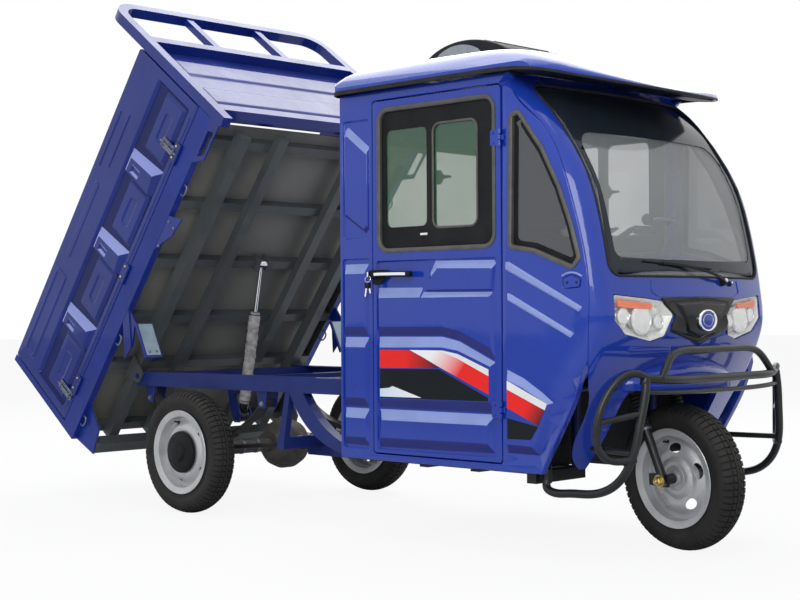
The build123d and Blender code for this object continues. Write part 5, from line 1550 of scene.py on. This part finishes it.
on_gate = facing_right(0.617)
both_gates = [("right", on_bed), ("left", on_bed @ Matrix.Diagonal((1, -1, 1, 1)))]
pad_spans = mm(92, 372, 524, 780, 930, 1180, 1336, 1606)
dimple = [relief(box_corners((a + b) / 2 - 0.07, (a + b) / 2 + 0.07, 0.178, 0.236), -0.004, 0.012, 0.022, 4)
          for a, b in pad_spans]
channel_reliefs = [relief(box_corners(a, b, 0.128, 0.284), 0.0095, 0.014, 0.01, 2, within=[hollow])
                   for (a, b), hollow in zip(pad_spans, dimple)]
for left, right in pocket_feet:
    foot = [(left, 0.108), (right, 0.108), (right - 0.026, 0.352), (left, 0.352)]
    top = [(left + 0.005, 0.132), (right - 0.044, 0.146), (right - 0.056, 0.316), (left + 0.005, 0.316)]
    web = relief(box_corners(left + 0.014, right - 0.074, 0.226, 0.29), -0.007, 0.01, 0.004, 2, slopes=(0, 1, 0, 1))
    channel_reliefs.append(relief(foot, 0.0215, 0.02, 0.004, 2, slopes=(1, 1, 0, 0), top=top, within=[web]))
channel = relief(box_corners(0.074, 1.626, 0.1, 0.358), -0.012, 0.012, 0.012, 3, slopes=(0, 2, 0),
                 within=channel_reliefs)
# The channel's floor takes the painted shade blue.
channel["finish"] = 2
for one in channel_reliefs:
    one["finish"] = 0
ribs = [relief(box_corners(1.1, 1.385, 0.5, 0.512), 0.0045, 0.0045, 0.0055, 3),
        relief(box_corners(1.13, 1.4, 0.436, 0.448), 0.0045, 0.0045, 0.0055, 3),
        relief(box_corners(0.094, 0.566, 0.418, 0.514), 0.0045, 0.006, 0.02, 4,
               within=[relief(box_corners(0.11, 0.55, 0.434, 0.498), -0.0045, 0.006, 0.014, 4)]),
        relief(box_corners(0.64, 1.04, 0.452, 0.49), 0.003, 0.006, 0.016, 4)]
lower_steps = [relief(box_corners(0.09, 1.61, 0.0755, 0.0885), 0.003, 0.004, 0.005)]
gate = Shape()
outline = (box_corners(gate_left_x, gate_right_x, gate_low, gate_top), 0.01, 3)
add_panel(gate, outline, [], [channel] + ribs + lower_steps, gate_depth, on_gate, roll=0.004, spacing=0.12)
for x in (0.226, 0.832, 1.436):
    add_turned(gate, mm(0.1, -47, 6.4, -46.5, 6.4, 46.5, 0.1, 47), (x, -0.6237, 0.056), (1, 0, 0), 20)
    add_plate(gate, box_corners(x - 0.044, x + 0.044, 0.06, 0.098), 0.0002, 0.0056, on_gate, 0.0015, 0, 0.006)
    for shift in (-0.027, 0.027):
        add_bolt(gate, on_gate(x + shift, 0.084, 0.0054), (0, -1, 0), 0.0042, 3)
make_both("drop_side", gate, [bed_blue, pocket_highlight_blue, channel_shade_blue, zinc], "side_gate_",
           ("gate_",), places=both_gates)

# %% [markdown]
# Each drop side is held shut by a spring latch near its ends: a slotted plate, a bolt that slides in
# two loops and a thumb lug.  They are zinc plated and go dull quickly.

# %% Drop side latches
dull_zinc = finish("dull_zinc", (0.12, 0.14, 0.19), (0.2, 0.22, 0.28), (0.36, 0.5), 40.0, metal=0.6,
                   grain=(900.0, 0.1), dust=0.15)
latch = Shape()
for x, sign in ((1.43, 1), (0.15, -1)):
    slot = (box_corners(x - 0.006, x + 0.006, 0.098, 0.152), 0.005, 2)
    add_panel(latch, (box_corners(x - 0.021, x + 0.021, 0.072, 0.184), 0.008, 3), [slot], [], 0.0022,
              raised(on_gate, 0.0036), roll=0.001)
    for z in (0.086, 0.166):
        add_tube(latch, bend_path([on_gate(x - 0.013, z, 0.002), on_gate(x - 0.013, z, 0.0115),
                                   on_gate(x + 0.013, z, 0.0115), on_gate(x + 0.013, z, 0.002)], 0.006), 0.0022, 8)
    add_tube(latch, [on_gate(x, 0.066, 0.007), on_gate(x, 0.19, 0.007)], 0.004, 10)
    add_tube(latch, bend_path([on_gate(x, 0.126, 0.007), on_gate(x, 0.126, 0.0105),
                               on_gate(x + 0.02 * sign, 0.13, 0.0105)], 0.003), 0.0028, 8)
make_both("side_latches", latch, [dull_zinc], "side_gate_", places=both_gates)

# %% [markdown]
# The tailgate is pressed like the sides, with three broad ribs on its outside.  It hangs from pins
# near its top edge, and two sliding bolts hold its foot.

# %% Tailgate
tail_half = 0.581
tail_middle_x = 0.015
tail = Shape()


def facing_back(x):
    """A placement on a flat face that looks backwards: across, up and how far it stands out."""
    return lambda y, z, height: (x - height, y, z)


on_tail = facing_back(0.005)
tail_ribs = [relief(box_corners(-tail_half + 0.04, tail_half - 0.04, z - 0.03, z + 0.03), 0.0075, 0.012, 0.012, 3)
             for z in (0.15, 0.3, 0.43)]
add_panel(tail, (box_corners(-tail_half, tail_half, 0.015, 0.539), 0.006, 2), [], tail_ribs, 0.021, on_tail,
          roll=0.003, spacing=0.1)
for sign in (-1, 1):
    add_turned(tail, mm(0.1, -10, 6.6, -10, 6.6, 15, 0.1, 16),
               (tail_middle_x, sign * tail_half, 0.52), (0, sign, 0), 20, 1)
    bolt_y = sign * (tail_half - 0.035)
    add_plate(tail, box_corners(bolt_y - 0.018, bolt_y + 0.018, 0.222, 0.262), 0.0003, 0.005, on_tail, 0.001, 1)
    add_tube(tail, [on_tail(bolt_y, 0.205, 0.009), on_tail(bolt_y, 0.285, 0.009)], 0.0045, 10, 1)
    add_tube(tail, bend_path([on_tail(bolt_y, 0.242, 0.009), on_tail(bolt_y, 0.242, 0.0118),
                              on_tail(bolt_y - sign * 0.026, 0.242, 0.0118)], 0.004), 0.003, 8, 1)
make_piece("tail_panel", tail, [bed_blue, dull_zinc], "rear_gate", ("tailgate",), place=on_bed)

# %% [markdown]
# Small fixings finish the bed: pale plates and bolts on the wheel brackets, and lashing hooks under
# the sills.

# %% Bed fixings
fixings = Shape()
plate_grey = finish("bare_bracket", (0.24, 0.33, 0.4), (0.34, 0.44, 0.5), (0.3, 0.45), 16.0, metal=0.4,
                    grain=(600.0, 0.08), dust=0.12)
lean = Vector((-0.074, 0, -0.142)).normalized()
face_out = Vector((0.887, 0, -0.462))
for sign in (-1, 1):
    start = Vector((0.694, sign * 0.5665, -0.1085)) + face_out * 0.0062
    add_plate(fixings, box_corners(0.004, 0.15, -0.036, 0.036), 0.0, 0.003,
              lambda u, v, h: start + lean * u + Vector((0, v, 0)) + face_out * h, 0.001, 0, 0.004)
    for shift in (-0.018, 0.018):
        add_bolt(fixings, start + lean * 0.134 + Vector((0, shift, 0)) + face_out * 0.003, face_out, 0.005, 1)
    for x, z in ((1.06, -0.052), (1.18, -0.052), (1.176, -0.094)):
        add_bolt(fixings, (x, sign * 0.6162, z), (0, sign, 0), 0.0055, 1)
    for x in (0.11, 0.56, 1.33):
        hook = [(x - 0.022, sign * 0.603, -0.034), (x - 0.022, sign * 0.603, -0.05), (x, sign * 0.604, -0.06),
                (x + 0.022, sign * 0.603, -0.05), (x + 0.022, sign * 0.603, -0.034)]
        add_tube(fixings, smooth_curve(hook, 5), 0.0038, 8, 1)
    for z, y in ((0.48, 0.596), (0.12, 0.596)):
        add_bolt(fixings, (0.0005, sign * y, z), (-1, 0, 0), 0.004, 1)
make_piece("bed_fixings", fixings, [plate_grey, dull_zinc], "load_bed", place=on_bed)

# %% [markdown]
# The headboard is one sheet behind the cab.  Two long ribs are pressed in its outer face so it does
# not drum.

# %% Headboard sheet
head_sheet = Shape()
ribs = [relief([(-0.52, low), (0.52, low), (0.52, low + 0.15), (-0.52, low + 0.15)], 0.007, 0.026, 0.02, 3)
        for low in (0.085, 0.315)]
add_panel(head_sheet, (mm(-568, 30, 568, 30, 568, 500, -568, 500), 0.004, 2), [], ribs,
          0.0012, lambda u, v, h: (1.673 + h, u, v), roll=0.0006, spacing=0.05)
make_piece("headboard_pressing", head_sheet, [bed_blue], "load_bed", place=on_bed)

# %% [markdown]
# The tipping ram wears a loose canvas sleeve, tied at both ends, so grit stays off the polished rod.
# It wrinkles round and along.

# %% Ram sleeve
ram_foot = Vector((-0.287, 0, 0.36))
ram_eye = on_cab.inverted() @ on_bed @ Vector((0.974, 0, -0.038))
ram_line = (ram_eye - ram_foot).normalized()
closed_eye = on_cab.inverted() @ Vector(tip_joint["pos_m"]) + Vector((0.558, 0, 0.08))
print("ram length open", round((ram_eye - ram_foot).length, 3), "closed", round((closed_eye - ram_foot).length, 3))
canvas = finish("sleeve_canvas", (0.3, 0.29, 0.28), (0.52, 0.51, 0.5), (0.85, 0.95), 34.0,
                grain=(1500.0, 0.5), dust=0.25, dust_colour=(0.12, 0.1, 0.08), specular=0.1)
sleeve = Shape()
sleeve_side = ram_line.orthogonal().normalized()


def sleeve_at(along, spin, radius):
    """A place round the ram's line."""
    return ram_foot + ram_line * along + Matrix.Rotation(spin, 3, ram_line) @ sleeve_side * radius


sleeve_start, sleeve_length = 0.062, 0.42
sleeve_points, sleeve_rings, around_count = [], 90, 40
for ring in range(sleeve_rings):
    t = ring / (sleeve_rings - 1)
    along = sleeve_start + sleeve_length * t
    tied = min(1.0, min(t, 1 - t) / 0.045)
    for i in range(around_count):
        spin = 2 * pi * i / around_count
        folds = noise.noise(Vector((cos(spin) * 1.3, sin(spin) * 1.3, t * 17))) * 0.0021
        folds += noise.noise(Vector((cos(spin) * 3.2, sin(spin) * 3.2, t * 55))) * 0.0011
        folds += 0.0009 * sin(t * 95 + 2.2 * sin(spin + 3 * t))
        radius = 0.0206 + (0.0046 + folds * 1.2) * tied
        sleeve_points.append(sleeve_at(along, spin, radius))
inner = [sleeve_at(sleeve_start + sleeve_length * t, 2 * pi * i / around_count, 0.0203) for t in (1.0, 0.0)
         for i in range(around_count)]
sleeve.add(sleeve_points + inner, loop_faces(sleeve_rings + 2, around_count, loop=True))
for along in (0.074, 0.472):
    ring_path = [sleeve_at(along, 2 * pi * i / 28, 0.0238) for i in range(28)]
    add_tube(sleeve, ring_path, 0.0016, 8, 1, closed=True)
sleeve_piece = make_piece("ram_sleeve_cloth", sleeve, [canvas, plastic], "ram_cylinder",
                          ("ram_sleeve",), sharp=60)
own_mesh(sleeve_piece)

# %% [markdown]
# Under the bed, each leaf spring is clamped to the axle by two U-bolts under a plate, and its eyes
# turn on bolts through the hangers.  A rod runs from the axle to the frame on each side to take the
# push, and a steel brake pipe is clipped along the axle tube.

# %% Spring clamps, push rods and brake pipe
clamps = Shape()
axle_z = tyre_radius
for sign in (-1, 1):
    for y in (0.392, 0.4475):
        add_tube(clamps, bend_path([(-0.036, sign * y, 0.327), (-0.036, sign * y, axle_z - 0.036),
                                    (0.036, sign * y, axle_z - 0.036), (0.036, sign * y, 0.327)], 0.032, 6), 0.0045, 10)
        for x in (-0.036, 0.036):
            add_bolt(clamps, (x, sign * y, 0.3165), (0, 0, 1), 0.0068)
    add_plate(clamps, mm(-48, 383, 48, 383, 48, 456.5, -48, 456.5), 0.3102, 0.3165,
              lambda x, y, z: (x, sign * y, z), 0.001, 0, 0.006)
    for x in (-0.372, 0.372):
        for y, facing in ((0.4513, 1), (0.3887, -1)):
            add_bolt(clamps, (x, sign * y, 0.463), (0, sign * facing, 0), 0.0095)
    for x, z in ((0.036, 0.262), (0.472, 0.302)):
        add_turned(clamps, mm(6, -20, 17, -20, 19, -17, 19, 17, 17, 20, 6, 20), (x, sign * 0.345, z), (0, 1, 0), 24, 1)
        add_bolt(clamps, (x, sign * 0.365, z), (0, sign, 0), 0.0085)
    add_tube(clamps, [(0.052, sign * 0.345, 0.2633), (0.456, sign * 0.345, 0.3007)], 0.0095, 14, 2)
    pipe = [(-0.02, sign * 0.1, axle_z + 0.05), (-0.012, sign * 0.14, axle_z + 0.036),
            (-0.01, sign * 0.22, axle_z + 0.0315), (-0.01, sign * 0.33, axle_z + 0.0315),
            (-0.034, sign * 0.372, axle_z + 0.024), (-0.058, sign * 0.42, axle_z + 0.03),
            (-0.05, sign * 0.454, axle_z + 0.04)]
    add_tube(clamps, smooth_curve(pipe, 6), 0.0026, 8, 3)
    for y in (0.17, 0.25, 0.325):
        add_turned(clamps, mm(29.5, -6, 31.2, -5, 31.2, 5, 29.5, 6), (0, sign * y, axle_z), (0, 1, 0), 28)
add_turned(clamps, mm(0.1, -12, 8.5, -12, 8.5, 4, 0.1, 4.5), (-0.02, 0, axle_z + 0.112), (0, 0, 1), 16)
for spin in range(10):
    ray = Vector((cos(2 * pi * spin / 10), 0, sin(2 * pi * spin / 10)))
    for sign in (-1, 1):
        add_bolt(clamps, Vector((0, sign * 0.0235, axle_z)) + ray * 0.0985, (0, sign, 0), 0.0056)
make_piece("axle_fixings", clamps, [dull_zinc, rubber, chassis_black, cast], "vehicle")

# %% [markdown]
# The fork is a plain welded one, so its detail is in the rubber gaiters over the sliding tubes.  A
# zinc band holds each of them at both ends.

# %% Fork gaiters
fork_rake = radians(22.0)
fork_up = Vector((-sin(fork_rake), 0, cos(fork_rake)))
fork_ahead = Vector((cos(fork_rake), 0, sin(fork_rake)))
hub_centre = Vector((wheelbase, 0, tyre_radius))
gaiters = Shape()
for sign in (-1, 1):
    folds = [(0.0162, 0.188), (0.02, 0.19)]
    for fold in range(9):
        folds += [(0.0225, 0.196 + fold * 0.013), (0.0186, 0.2025 + fold * 0.013)]
    folds += [(0.02, 0.318), (0.0162, 0.32)]
    add_turned(gaiters, folds, hub_centre + Vector((0, sign * 0.096, 0)), fork_up, 28)
    for along in (0.186, 0.322):
        add_turned(gaiters, mm(16.2, -4, 21.2, -4, 21.2, 4, 16.2, 4),
                   hub_centre + Vector((0, sign * 0.096, 0)) + fork_up * along, fork_up, 24, 1)
make_piece("fork_gaiters", gaiters, [rubber, dull_zinc], "front_fork", place=on_fork)

# %% [markdown]
# The bench seat is foam in a stitched cover, in two parts: a cushion on the seat box and a backrest
# on the bulkhead.  Each starts as a slab a little too small.  Cloth simulation with air pressure
# swells it, so its faces crown and its sides pull in, and then the sewn channels are drawn in.

# %% Blank, swell and sew
seat_cover = finish("seat_cover", (0.011, 0.011, 0.013), (0.02, 0.02, 0.022), (0.42, 0.58), 14.0,
                    grain=(520.0, 0.45), dust=0.04, specular=0.35)
thread = finish("seat_thread", (0.3, 0.31, 0.34), (0.38, 0.39, 0.42), (0.75, 0.85), 60.0, grain=(1500.0, 0.3))


def baked(thing):
    """Puts a piece's modifiers into its mesh."""
    bpy.context.view_layer.update()
    seen = thing.evaluated_get(bpy.context.evaluated_depsgraph_get())
    mesh = bpy.data.meshes.new_from_object(seen)
    thing.modifiers.clear()
    thing.data = mesh


swell_steps = 20


def swell(thing, reach):
    """Blows a pad up as cloth; no point moves further than reach."""
    scene = bpy.context.scene
    start = [vertex.co.copy() for vertex in thing.data.vertices]
    cloth = thing.modifiers.new("air", "CLOTH")
    cloth.point_cache.frame_start, cloth.point_cache.frame_end = 1, swell_steps
    settings = cloth.settings
    settings.quality = 5
    settings.mass = 0.3
    settings.tension_stiffness = settings.compression_stiffness = 15
    settings.shear_stiffness, settings.bending_stiffness = 5, 0.5
    settings.use_pressure = True
    settings.uniform_pressure_force = 4.0
    settings.effector_weights.gravity = 0
    for step in range(1, swell_steps + 1):
        scene.frame_set(step)
    baked(thing)
    furthest = 0.0
    for vertex, old in zip(thing.data.vertices, start):
        move = vertex.co - old
        furthest = max(furthest, move.length)
        vertex.co = old + move * min(1.0, reach / max(move.length, 1e-9))
    scene.frame_set(1)
    print(thing.name, "swelled by", round(furthest, 4))


def on_axes(thin, a, b, height):
    """A point with height along the thin axis and a and b along the other two."""
    spot = [a, b]
    spot.insert(thin, height)
    return Vector(spot)


def pad(name, low, high, thin, channels, along):
    """A stuffed pad inside a box; thin is its thin axis, and channels are places along another."""
    u, v = [axis for axis in range(3) if axis != thin]
    blank = Shape()
    shrink, groove_deep, groove_wide = 0.02, 0.0075, 0.0055
    outline = box_corners(low[u] + shrink, high[u] - shrink, low[v] + shrink, high[v] - shrink)
    add_plate(blank, outline, low[thin] + 0.002, high[thin] - shrink, lambda a, b, height: on_axes(thin, a, b, height),
              0.022, 0, 0.05, 6)
    thing = mesh_object(name, [on_cab @ Vector(point) for point in blank.points], blank.faces)
    remesh = thing.modifiers.new("even net", "REMESH")
    remesh.mode, remesh.voxel_size = "VOXEL", 0.0075
    baked(thing)
    swell(thing, 0.024)
    thing.modifiers.new("finer", "SUBSURF").levels = 1
    thing.modifiers["finer"].render_levels = 1
    baked(thing)
    floor_at, wall_low, wall_high = on_cab @ Vector(low), on_cab @ Vector(low), on_cab @ Vector(high)
    net = thing.data
    for vertex in net.vertices:
        spot = vertex.co
        for axis in (u, v):
            spot[axis] = min(max(spot[axis], wall_low[axis] + 0.004), wall_high[axis] - 0.004)
        spot[thin] = min(max(spot[thin], floor_at[thin] + 0.0008), wall_high[thin] - 0.002)
        depth = (spot[thin] - floor_at[thin]) / (wall_high[thin] - floor_at[thin])
        if depth > 0.35:
            groove = sum(groove_deep / (1 + ((spot[along] - place) / groove_wide) ** 2) for place in channels)
            spot[thin] -= groove * min(1.0, (depth - 0.35) / 0.3)
    net.materials.clear()
    net.materials.append(seat_cover)
    net.shade_smooth()
    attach(thing, "vehicle")
    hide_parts("seat")
    print(name, "has", len(net.polygons), "faces")
    return thing


channel_places = [-0.262, -0.131, 0.0, 0.131, 0.262]
cushion = pad("seat_cushion", (1.022, -0.394, 0.6103), (1.434, 0.394, 0.7), 2, channel_places, 1)
backrest = pad("seat_backrest", (0.9443, -0.394, 0.72), (1.014, 0.394, 1.06), 0, channel_places, 1)

# %% [markdown]
# A line of thread shows on each side of every channel, and a cord of piping is sewn round the front
# of each pad.  Both are laid on the swollen surface by looking for it with rays.

# %% Stitches and piping
def surface_of(thing):
    """A searchable copy of a piece's surface."""
    return BVHTree.FromPolygons([vertex.co for vertex in thing.data.vertices],
                                [polygon.vertices for polygon in thing.data.polygons])


stitches = Shape()
for thing, thin, start, end in ((cushion, 2, 1.05, 1.405), (backrest, 0, 0.75, 1.03)):
    tree = surface_of(thing)
    away = on_axes(thin, 0, 0, 1)
    for place in channel_places:
        for beside in (-0.009, 0.009):
            steps = int((end - start) / 0.009)
            for i in range(steps):
                ends = []
                for part in (0.15, 0.8):
                    reach = start + (end - start) * (i + part) / steps
                    spot = Vector((reach, place + beside, 0.8)) if thin == 2 else Vector((1.1, place + beside, reach))
                    hit = tree.ray_cast(on_cab @ spot, -away)[0]
                    if hit:
                        ends.append(on_cab.inverted() @ hit + away * 0.0003)
                if len(ends) == 2:
                    add_tube(stitches, [ends[0], (ends[0] + ends[1]) / 2 + away * 0.0004, ends[1]],
                             [0.0005, 0.0008, 0.0005], 6)
make_piece("seat_stitches", stitches, [thread], "vehicle", join=0)
piping = Shape()
for thing, thin, level, low, high in ((cushion, 2, 0.664, (1.022, -0.394), (1.434, 0.394)),
                                      (backrest, 0, 0.982, (-0.394, 0.72), (0.394, 1.06))):
    tree = surface_of(thing)
    ring = rounded(box_corners(low[0], high[0], low[1], high[1]), 0.05, 8)
    middle = Vector(((low[0] + high[0]) / 2, (low[1] + high[1]) / 2))
    outline = []
    for a, b in zip(ring, ring[1:] + ring[:1]):
        outline += divided([a, b], max(1, int((b - a).length / 0.02)))
    path = []
    for spot in outline:
        inward = middle - spot
        inward = Vector((inward.x if abs(inward.x) > abs(high[0] - low[0]) / 2 - 0.06 else 0,
                         inward.y if abs(inward.y) > abs(high[1] - low[1]) / 2 - 0.06 else 0)).normalized()
        begin = spot - inward * 0.05
        heading = on_axes(thin, *inward, 0)
        hit = tree.ray_cast(on_cab @ on_axes(thin, *begin, level), heading)[0]
        if hit:
            path.append(on_cab.inverted() @ hit - heading * 0.0006)
    add_tube(piping, path, 0.0028, 8, up=on_axes(thin, 0, 0, 1), closed=True)
make_piece("seat_piping", piping, [seat_cover], "vehicle")

# %% [markdown]
# The rider's controls ride on the fork with the bar: a ribbed grip, a switch pod and a lever on each
# side, and the bar's clamp.  The bar is laid out straight ahead and turned with the fork.

# %% Grips and levers
controls = Shape()
bar_middle = hub_centre + fork_up * 0.895 + fork_ahead * 0.045
for sign in (-1, 1):
    grip_end = Vector((bar_middle.x - 0.06, sign * 0.36, bar_middle.z + 0.044))
    grip_start = Vector((bar_middle.x - 0.029, sign * 0.247, bar_middle.z + 0.05))
    grip_line = grip_end - grip_start
    length, along = grip_line.length, grip_line.normalized()
    profile = mm(11.2, -2, 21.5, -1, 21.5, 5, 18.3, 7)
    for rib in range(11):
        at = 0.011 + rib * 0.0092
        profile += [(0.0176, at), (0.0186, at + 0.002), (0.0186, at + 0.005), (0.0176, at + 0.007)]
    profile += [(0.0195, length - 0.004), (0.0195, length + 0.002), (0.015, length + 0.0055), (0.0001, length + 0.006)]
    add_turned(controls, profile, grip_start, grip_line, 28)
    ahead = (Vector((1, 0, 0)) - along * along.x).normalized()
    pod = grip_start - along * 0.024
    add_turned(controls, mm(11.2, -19, 19, -18, 21.5, -14, 21.5, 14, 19, 18, 11.2, 19), pod, grip_line, 24, 1)
    for shift in (-0.008, 0.006):
        button = pod + along * shift - ahead * 0.0195 + Vector((0, 0, 0.004))
        add_turned(controls, mm(0.1, -2, 4.8, -2, 4.8, 3.5, 3.8, 4.8, 0.1, 5), button, -ahead, 14, 2)
    lever = [pod + ahead * 0.018, pod + ahead * 0.04 + grip_line * 0.12, pod + ahead * 0.052 + grip_line * 0.45,
             pod + ahead * 0.05 + grip_line * 0.8, pod + ahead * 0.046 + grip_line * 1.06]
    add_tube(controls, smooth_curve(lever, 6), [0.0072 - 0.0028 * i / 24 for i in range(25)], 12, 3)
    tip = Vector(lever[-1])
    add_turned(controls, mm(0.1, -6.6, 4.8, -4.8, 6.6, 0, 4.8, 4.8, 0.1, 6.6), tip, grip_line, 16, 3)


def on_clamp(ahead, across, up):
    """A place on the bar clamp, measured from the bar's middle."""
    return bar_middle + fork_ahead * ahead + Vector((0, across, 0)) + fork_up * up


add_plate(controls, box_corners(-0.021, 0.021, -0.034, 0.034), 0.0155, 0.0215, on_clamp, 0.002, 1, 0.004)
for a in (-0.013, 0.013):
    for b in (-0.026, 0.026):
        add_bolt(controls, on_clamp(a, b, 0.0213), fork_up, 0.005, 3)
switch_red = finish("switch_red", (0.55, 0.02, 0.015), (0.62, 0.03, 0.02), (0.3, 0.4), 30.0, grain=(800.0, 0.05))
make_piece("bar_controls", controls, [rubber, plastic, switch_red, dull_zinc], "front_fork",
           place=on_fork)

# %% [markdown]
# The dash carries an instrument panel with two dials, an air vent at each end and a lidded tray.
# The dials have plain tick marks only.

# %% Instruments
dash = Shape()
on_hood, on_shelf = facing_back(1.872), facing_back(1.812)
add_plate(dash, box_corners(-0.098, 0.098, 0.94, 0.98), 0.0003, 0.004, on_hood, 0.0015, 0, 0.008)
for y in (-0.05, 0.05):
    add_turned(dash, mm(16.5, 3.5, 18.2, 5, 16.8, 6.6, 15, 5), on_hood(y, 0.96, 0), (-1, 0, 0), 40, 1)
    for tick in range(11):
        swing = radians(210 - tick * 24)
        ray = Vector((0, cos(swing), sin(swing)))
        centre = Vector(on_hood(y, 0.96, 0.0042))
        add_tube(dash, [centre + ray * 0.0118, centre + ray * 0.0146], 0.00045, 6, 2)
    needle = radians(205)
    ray = Vector((0, cos(needle), sin(needle)))
    add_tube(dash, [centre - ray * 0.002 + Vector((-0.001, 0, 0)), centre + ray * 0.0125 + Vector((-0.001, 0, 0))],
             [0.0009, 0.0004], 6, 3)
    add_turned(dash, mm(2.2, -1, 2.2, 2.2, 0.1, 2.6), centre, (-1, 0, 0), 14)
for y in (-0.39, 0.39):
    add_plate(dash, box_corners(y - 0.062, y + 0.062, 0.8975, 0.9325), 0.0003, 0.0045, on_shelf, 0.0015, 0, 0.006)
    for slat in range(4):
        z = 0.903 + slat * 0.008
        add_tube(dash, [on_shelf(y - 0.054, z, 0.005), on_shelf(y + 0.054, z, 0.005)], 1.0, 6, 1,
                 section=rounded_bar(0.002, 0.0042), up=(0.6, 0, 0.8))
add_plate(dash, box_corners(-0.27, -0.13, 0.8975, 0.9325), 0.0003, 0.0035, on_shelf, 0.0012, 0, 0.005)
add_tube(dash, [on_shelf(-0.222, 0.915, 0.0045), on_shelf(-0.178, 0.915, 0.0045)], 0.0028, 8, 1)
make_piece("dash_instruments", dash, [plastic, chrome, white_film, red_film], "vehicle")

# %% [markdown]
# The cab floor has a ribbed rubber mat with a brake pedal above it.  The rear window has the same
# rubber seal as the doors, inside and out.

# %% Floor mat, pedal and rear window seal
mat = Shape()
mat_ribs = [relief(box_corners(1.455, 1.705, y - 0.006, y + 0.006), 0.0022, 0.002, 0.0015, 1)
            for y in (-0.42 + 0.04 * i for i in range(22))]
add_panel(mat, (box_corners(1.436, 1.722, -0.47, 0.47), 0.02, 4), [], mat_ribs, 0.0036,
          lambda x, y, h: (x, y, 0.3131 + h), roll=0.0015, spacing=0.12)
make_piece("floor_mat", mat, [rubber], "vehicle")
pedal = Shape()
add_tube(pedal, smooth_curve(mm(1726.5, -150, 330, 1700, -150, 352, 1682, -150, 392, 1664, -150, 410, size=3), 6),
         0.0075, 12)
pedal_at, pedal_face, pedal_up = Vector((1.66, -0.15, 0.414)), Vector((-0.8, 0, 0.6)), Vector((0.6, 0, 0.8))
add_plate(pedal, box_corners(-0.03, 0.03, -0.036, 0.036), 0.0, 0.01, lambda a, b, h: pedal_at
          + pedal_up * a + Vector((0, b, 0)) + pedal_face * h, 0.003, 1, 0.008)
for rib in range(5):
    a = -0.02 + 0.01 * rib
    spot = pedal_at + pedal_up * a + pedal_face * 0.0102
    add_tube(pedal, [spot + Vector((0, -0.028, 0)), spot + Vector((0, 0.028, 0))], 0.0018, 8, 1)
make_piece("brake_pedal", pedal, [black_steel, rubber], "vehicle")
rear_window = (box_corners(-0.33, 0.33, 1.09, 1.48), 0.042, 6)
seals = Shape()
for wall_x, outwards in ((0.914, -1), (0.944, 1)):
    add_strip(seals, rear_window, mm(-12, 0.4, 6, 0.4, 8, 3, 3, 7.5, -7, 7.5, -12, 4),
              lambda y, z, h: (wall_x + outwards * h, y, z))
make_piece("rear_window_seal", seals, [seal_grey], "vehicle")
